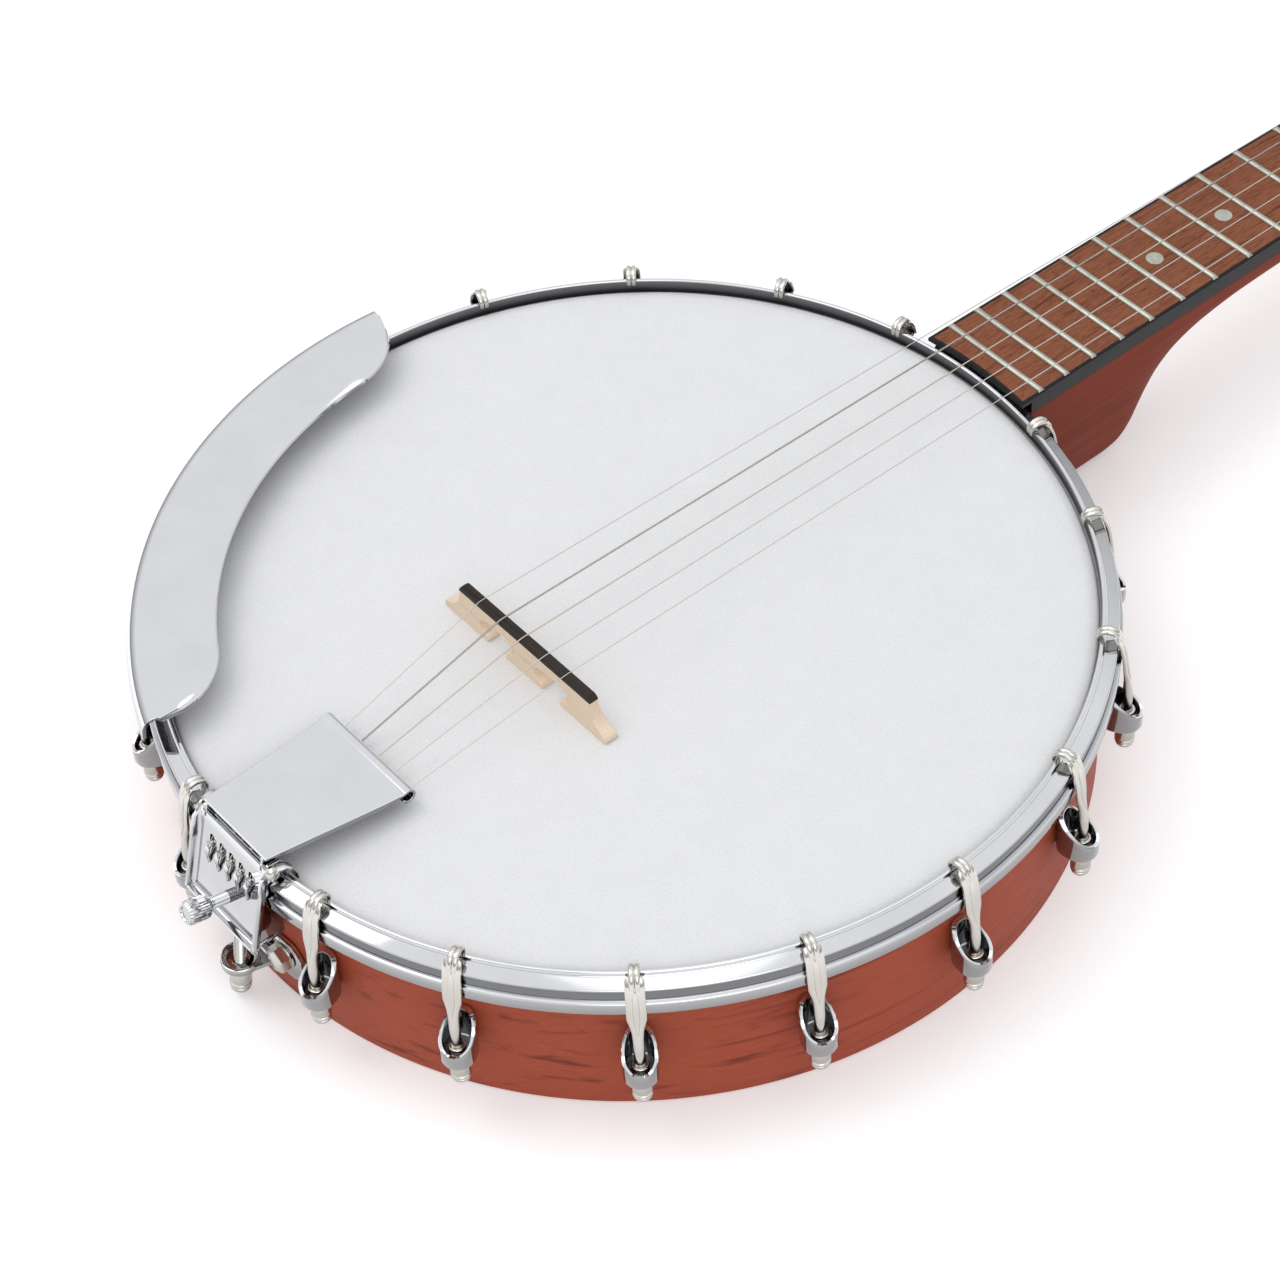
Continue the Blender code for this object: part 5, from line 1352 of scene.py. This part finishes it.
def thumbscrew():
    """The knurled screw square to the back plate; its tip stops just short of the rim."""
    start = (plate_x(THUMBSCREW_HEIGHT), 0, THUMBSCREW_HEIGHT)
    at = placed(start) @ PLATE_OUT.to_track_quat("Z", "Y").to_matrix().to_4x4()
    tip = (-(RIM_RADIUS + 0.6) - start[0]) / PLATE_OUT.x
    grip = [(0, 14.3), (2.0, 14.3), (2.3, 14.75), (2.9, 14.75), (3.6, 14.0), (3.6, 8.2), (3.1, 7.5),
            (1.9, 7.3)]
    bm = bmesh.new()
    lathe(bm, grip + thread(7.0, tip + 0.8, 1.9, 1.62, 0.6) + [(1.3, tip), (0, tip)], 60, at,
          ripple=lambda i, h: 0.94 if i % 2 and 8 < h < 14.2 else 1.0)
    piece("thumbscrew_fine", bm, [CHROME], ["thumbscrew"], "thumbscrew", crease=25)


def tail_bolt():
    """The bolt that pulls the tailpiece's foot down to the hanger, with its nut."""
    foot = PLATE_BOTTOM[1]
    lean = placed((TAIL_BOLT_FOOT, 0, 0), TAIL_BOLT_LEAN, "Y")
    top = [(0, foot + 3.6), (1.4, foot + 3.5), (2.4, foot + 3.0), (2.7, foot + 2.3), (2.7, foot + 1.9),
           (2.0, foot + 1.9)]
    end = [(2.0, 13), (2.0, 3), (1.6, 2.4), (0, 2.4)]
    bm = bmesh.new()
    lathe(bm, top + thread(foot - 1, 13.5, 2.0, 1.75, 0.7) + end, 32, lean)
    lathe(bm, [(r + 0.3, z * 1.1 + 2.5) for r, z in NUT_PROFILE], 32, lean)
    piece("tail_bolt_fine", bm, [NICKEL], ["tail_bolt"])


def hanger():
    """The strap on the rim's back, and its arm with the eye for the tail bolt."""
    bm = bmesh.new()
    rings = []
    for i in range(25):
        turn = radians(172 + 16 * i / 24)
        half = 7.8 * sqrt(min(1.0, (min(i, 24 - i) + 0.35) / 2.6))
        section = washer(RIM_RADIUS + 0.3, RIM_RADIUS + 1.9, 20.2 - half, 20.2 + half, 0.4)
        rings.append([(r * cos(turn), r * sin(turn), z) for r, z in section])
    loft(bm, rings)
    middle = HANGER_SHELF - 0.75
    eye = TAIL_BOLT_FOOT + middle * sin(TAIL_BOLT_LEAN)
    arm = rounded([(-140.6, 8), (-142.5, 7.2), (eye, 5.4), (eye, -5.4), (-142.5, -7.2), (-140.6, -8)],
                  1.0, 3)
    prism(bm, arm, 0.75, centre=middle)
    cup = rounded([(2.4, middle - 0.75), (5.9, middle - 0.75), (5.9, middle + 1.9), (4.7, middle + 1.9),
                   (4.5, middle + 0.75), (2.4, middle + 0.75)], 0.5, 3)
    lathe(bm, cup, 40, placed((eye, 0, 0)))
    piece("hanger_strap", bm, [CHROME], ["hanger_bracket"])


def hanger_screws():
    """Two hex screws with washers."""
    y, z = HANGER_SCREW
    for name, side in (("hanger_screw_left", 1), ("hanger_screw_right", -1)):
        bm = bmesh.new()
        at = placed((0, side * y, z)) @ ALONG_X
        lathe(bm, washer(1.8, 4.6, -140.9, -141.7, 0.2), 32, at)
        lathe(bm, [(0, -145.6), (2.6, -145.6), (3.9, -145.1), (4.35, -144.5), (4.35, -141.7), (0, -141.7)],
              6, at)
        lathe(bm, [(0, -134), (1.9, -134), (1.9, -142), (0, -142)], 20, at)
        piece(name + "_fine", bm, [NICKEL], [name])


# ------------------------------------------------------------------ studio
def studio_floor():
    """A wide pale floor just under the object."""
    reach = 6
    mesh = bpy.data.meshes.new("floor")
    mesh.from_pydata([(-reach, -reach, 0), (reach, -reach, 0), (reach, reach, 0), (-reach, reach, 0)],
                     [], [(0, 1, 2, 3)])
    paint = Paint("pale_floor", (0.93, 0.93, 0.93), 0.6, Emission_Color=(1.0, 1.0, 1.0, 1.0),
                  Emission_Strength=0.28)
    mesh.materials.append(paint.material)
    obj = in_scene("floor", mesh)
    obj.location = (0, 0, CAD_BOX[0][2] - 0.0002)


def studio_lamps():
    """Three round lamps aimed at the pot."""
    for name, place, size, power, colour in (
            ("key", (-1.0, 0.9, 1.9), 1.3, 8, (1.0, 0.98, 0.96)),
            ("fill", (-1.1, -1.3, 1.1), 1.2, 4, (0.98, 0.99, 1.0)),
            ("top", (-0.2, 0.1, 2.4), 2.2, 5, (1.0, 1.0, 1.0))):
        light = bpy.data.lights.new(name, "AREA")
        light.shape = "DISK"
        light.size = size
        light.energy = power
        light.color = colour
        lamp = in_scene(name, light)
        lamp.location = place
        aim = Vector((POT_X * MM, 0, 0.03)) - Vector(place)
        lamp.rotation_euler = aim.to_track_quat("-Z", "Y").to_euler()


def studio_sky():
    """A soft grey surround, darkest at and below the horizon."""
    world = bpy.data.worlds.new("studio")
    bpy.context.scene.world = world
    world.use_nodes = True
    tree = world.node_tree
    sky = tree.nodes["Background"]
    direction = tree.nodes.new("ShaderNodeTexCoord").outputs["Generated"]
    height = tree.nodes.new("ShaderNodeSeparateXYZ")
    ramp = tree.nodes.new("ShaderNodeValToRGB")
    tree.links.new(direction, height.inputs[0])
    tree.links.new(height.outputs[2], ramp.inputs[0])
    tree.links.new(ramp.outputs[0], sky.inputs[0])
    low, high = ramp.color_ramp.elements
    low.position, low.color = 0.05, (0.30, 0.31, 0.33, 1.0)
    high.position, high.color = 0.55, (0.81, 0.82, 0.84, 1.0)
    sky.inputs[1].default_value = 1.0
    bpy.context.scene.view_settings.view_transform = "Standard"


def camera():
    """A long lens that looks down on the pot from the tail end."""
    data = bpy.data.cameras.new("camera")
    data.sensor_width = 36
    data.lens = CAMERA_LENS
    data.clip_end = 50
    obj = in_scene("camera", data)
    obj.location = Vector((POT_X, 0, 0)) * MM + Vector(CAMERA_PLACE) * MM
    obj.rotation_euler = [radians(turn) for turn in CAMERA_TURN]
    bpy.context.scene.camera = obj


for build in (camera, studio_floor, studio_lamps, studio_sky, rim, head, tension_hoop, brackets, armrest,
              coordinator_rod, neck_bolt, neck, headstock, fingerboard, string_nut, fifth_string_nut,
              tuners, fifth_peg, bridge, bridge_cap, strings, tailpiece_plate, tailpiece_cheeks,
              tailpiece_cover, tailpiece_cover_edges, tailpiece_pin, thumbscrew, tail_bolt, hanger,
              hanger_screws):
    build()
repaint("tone_ring", BRASS)
repaint("truss_rod", STEEL)
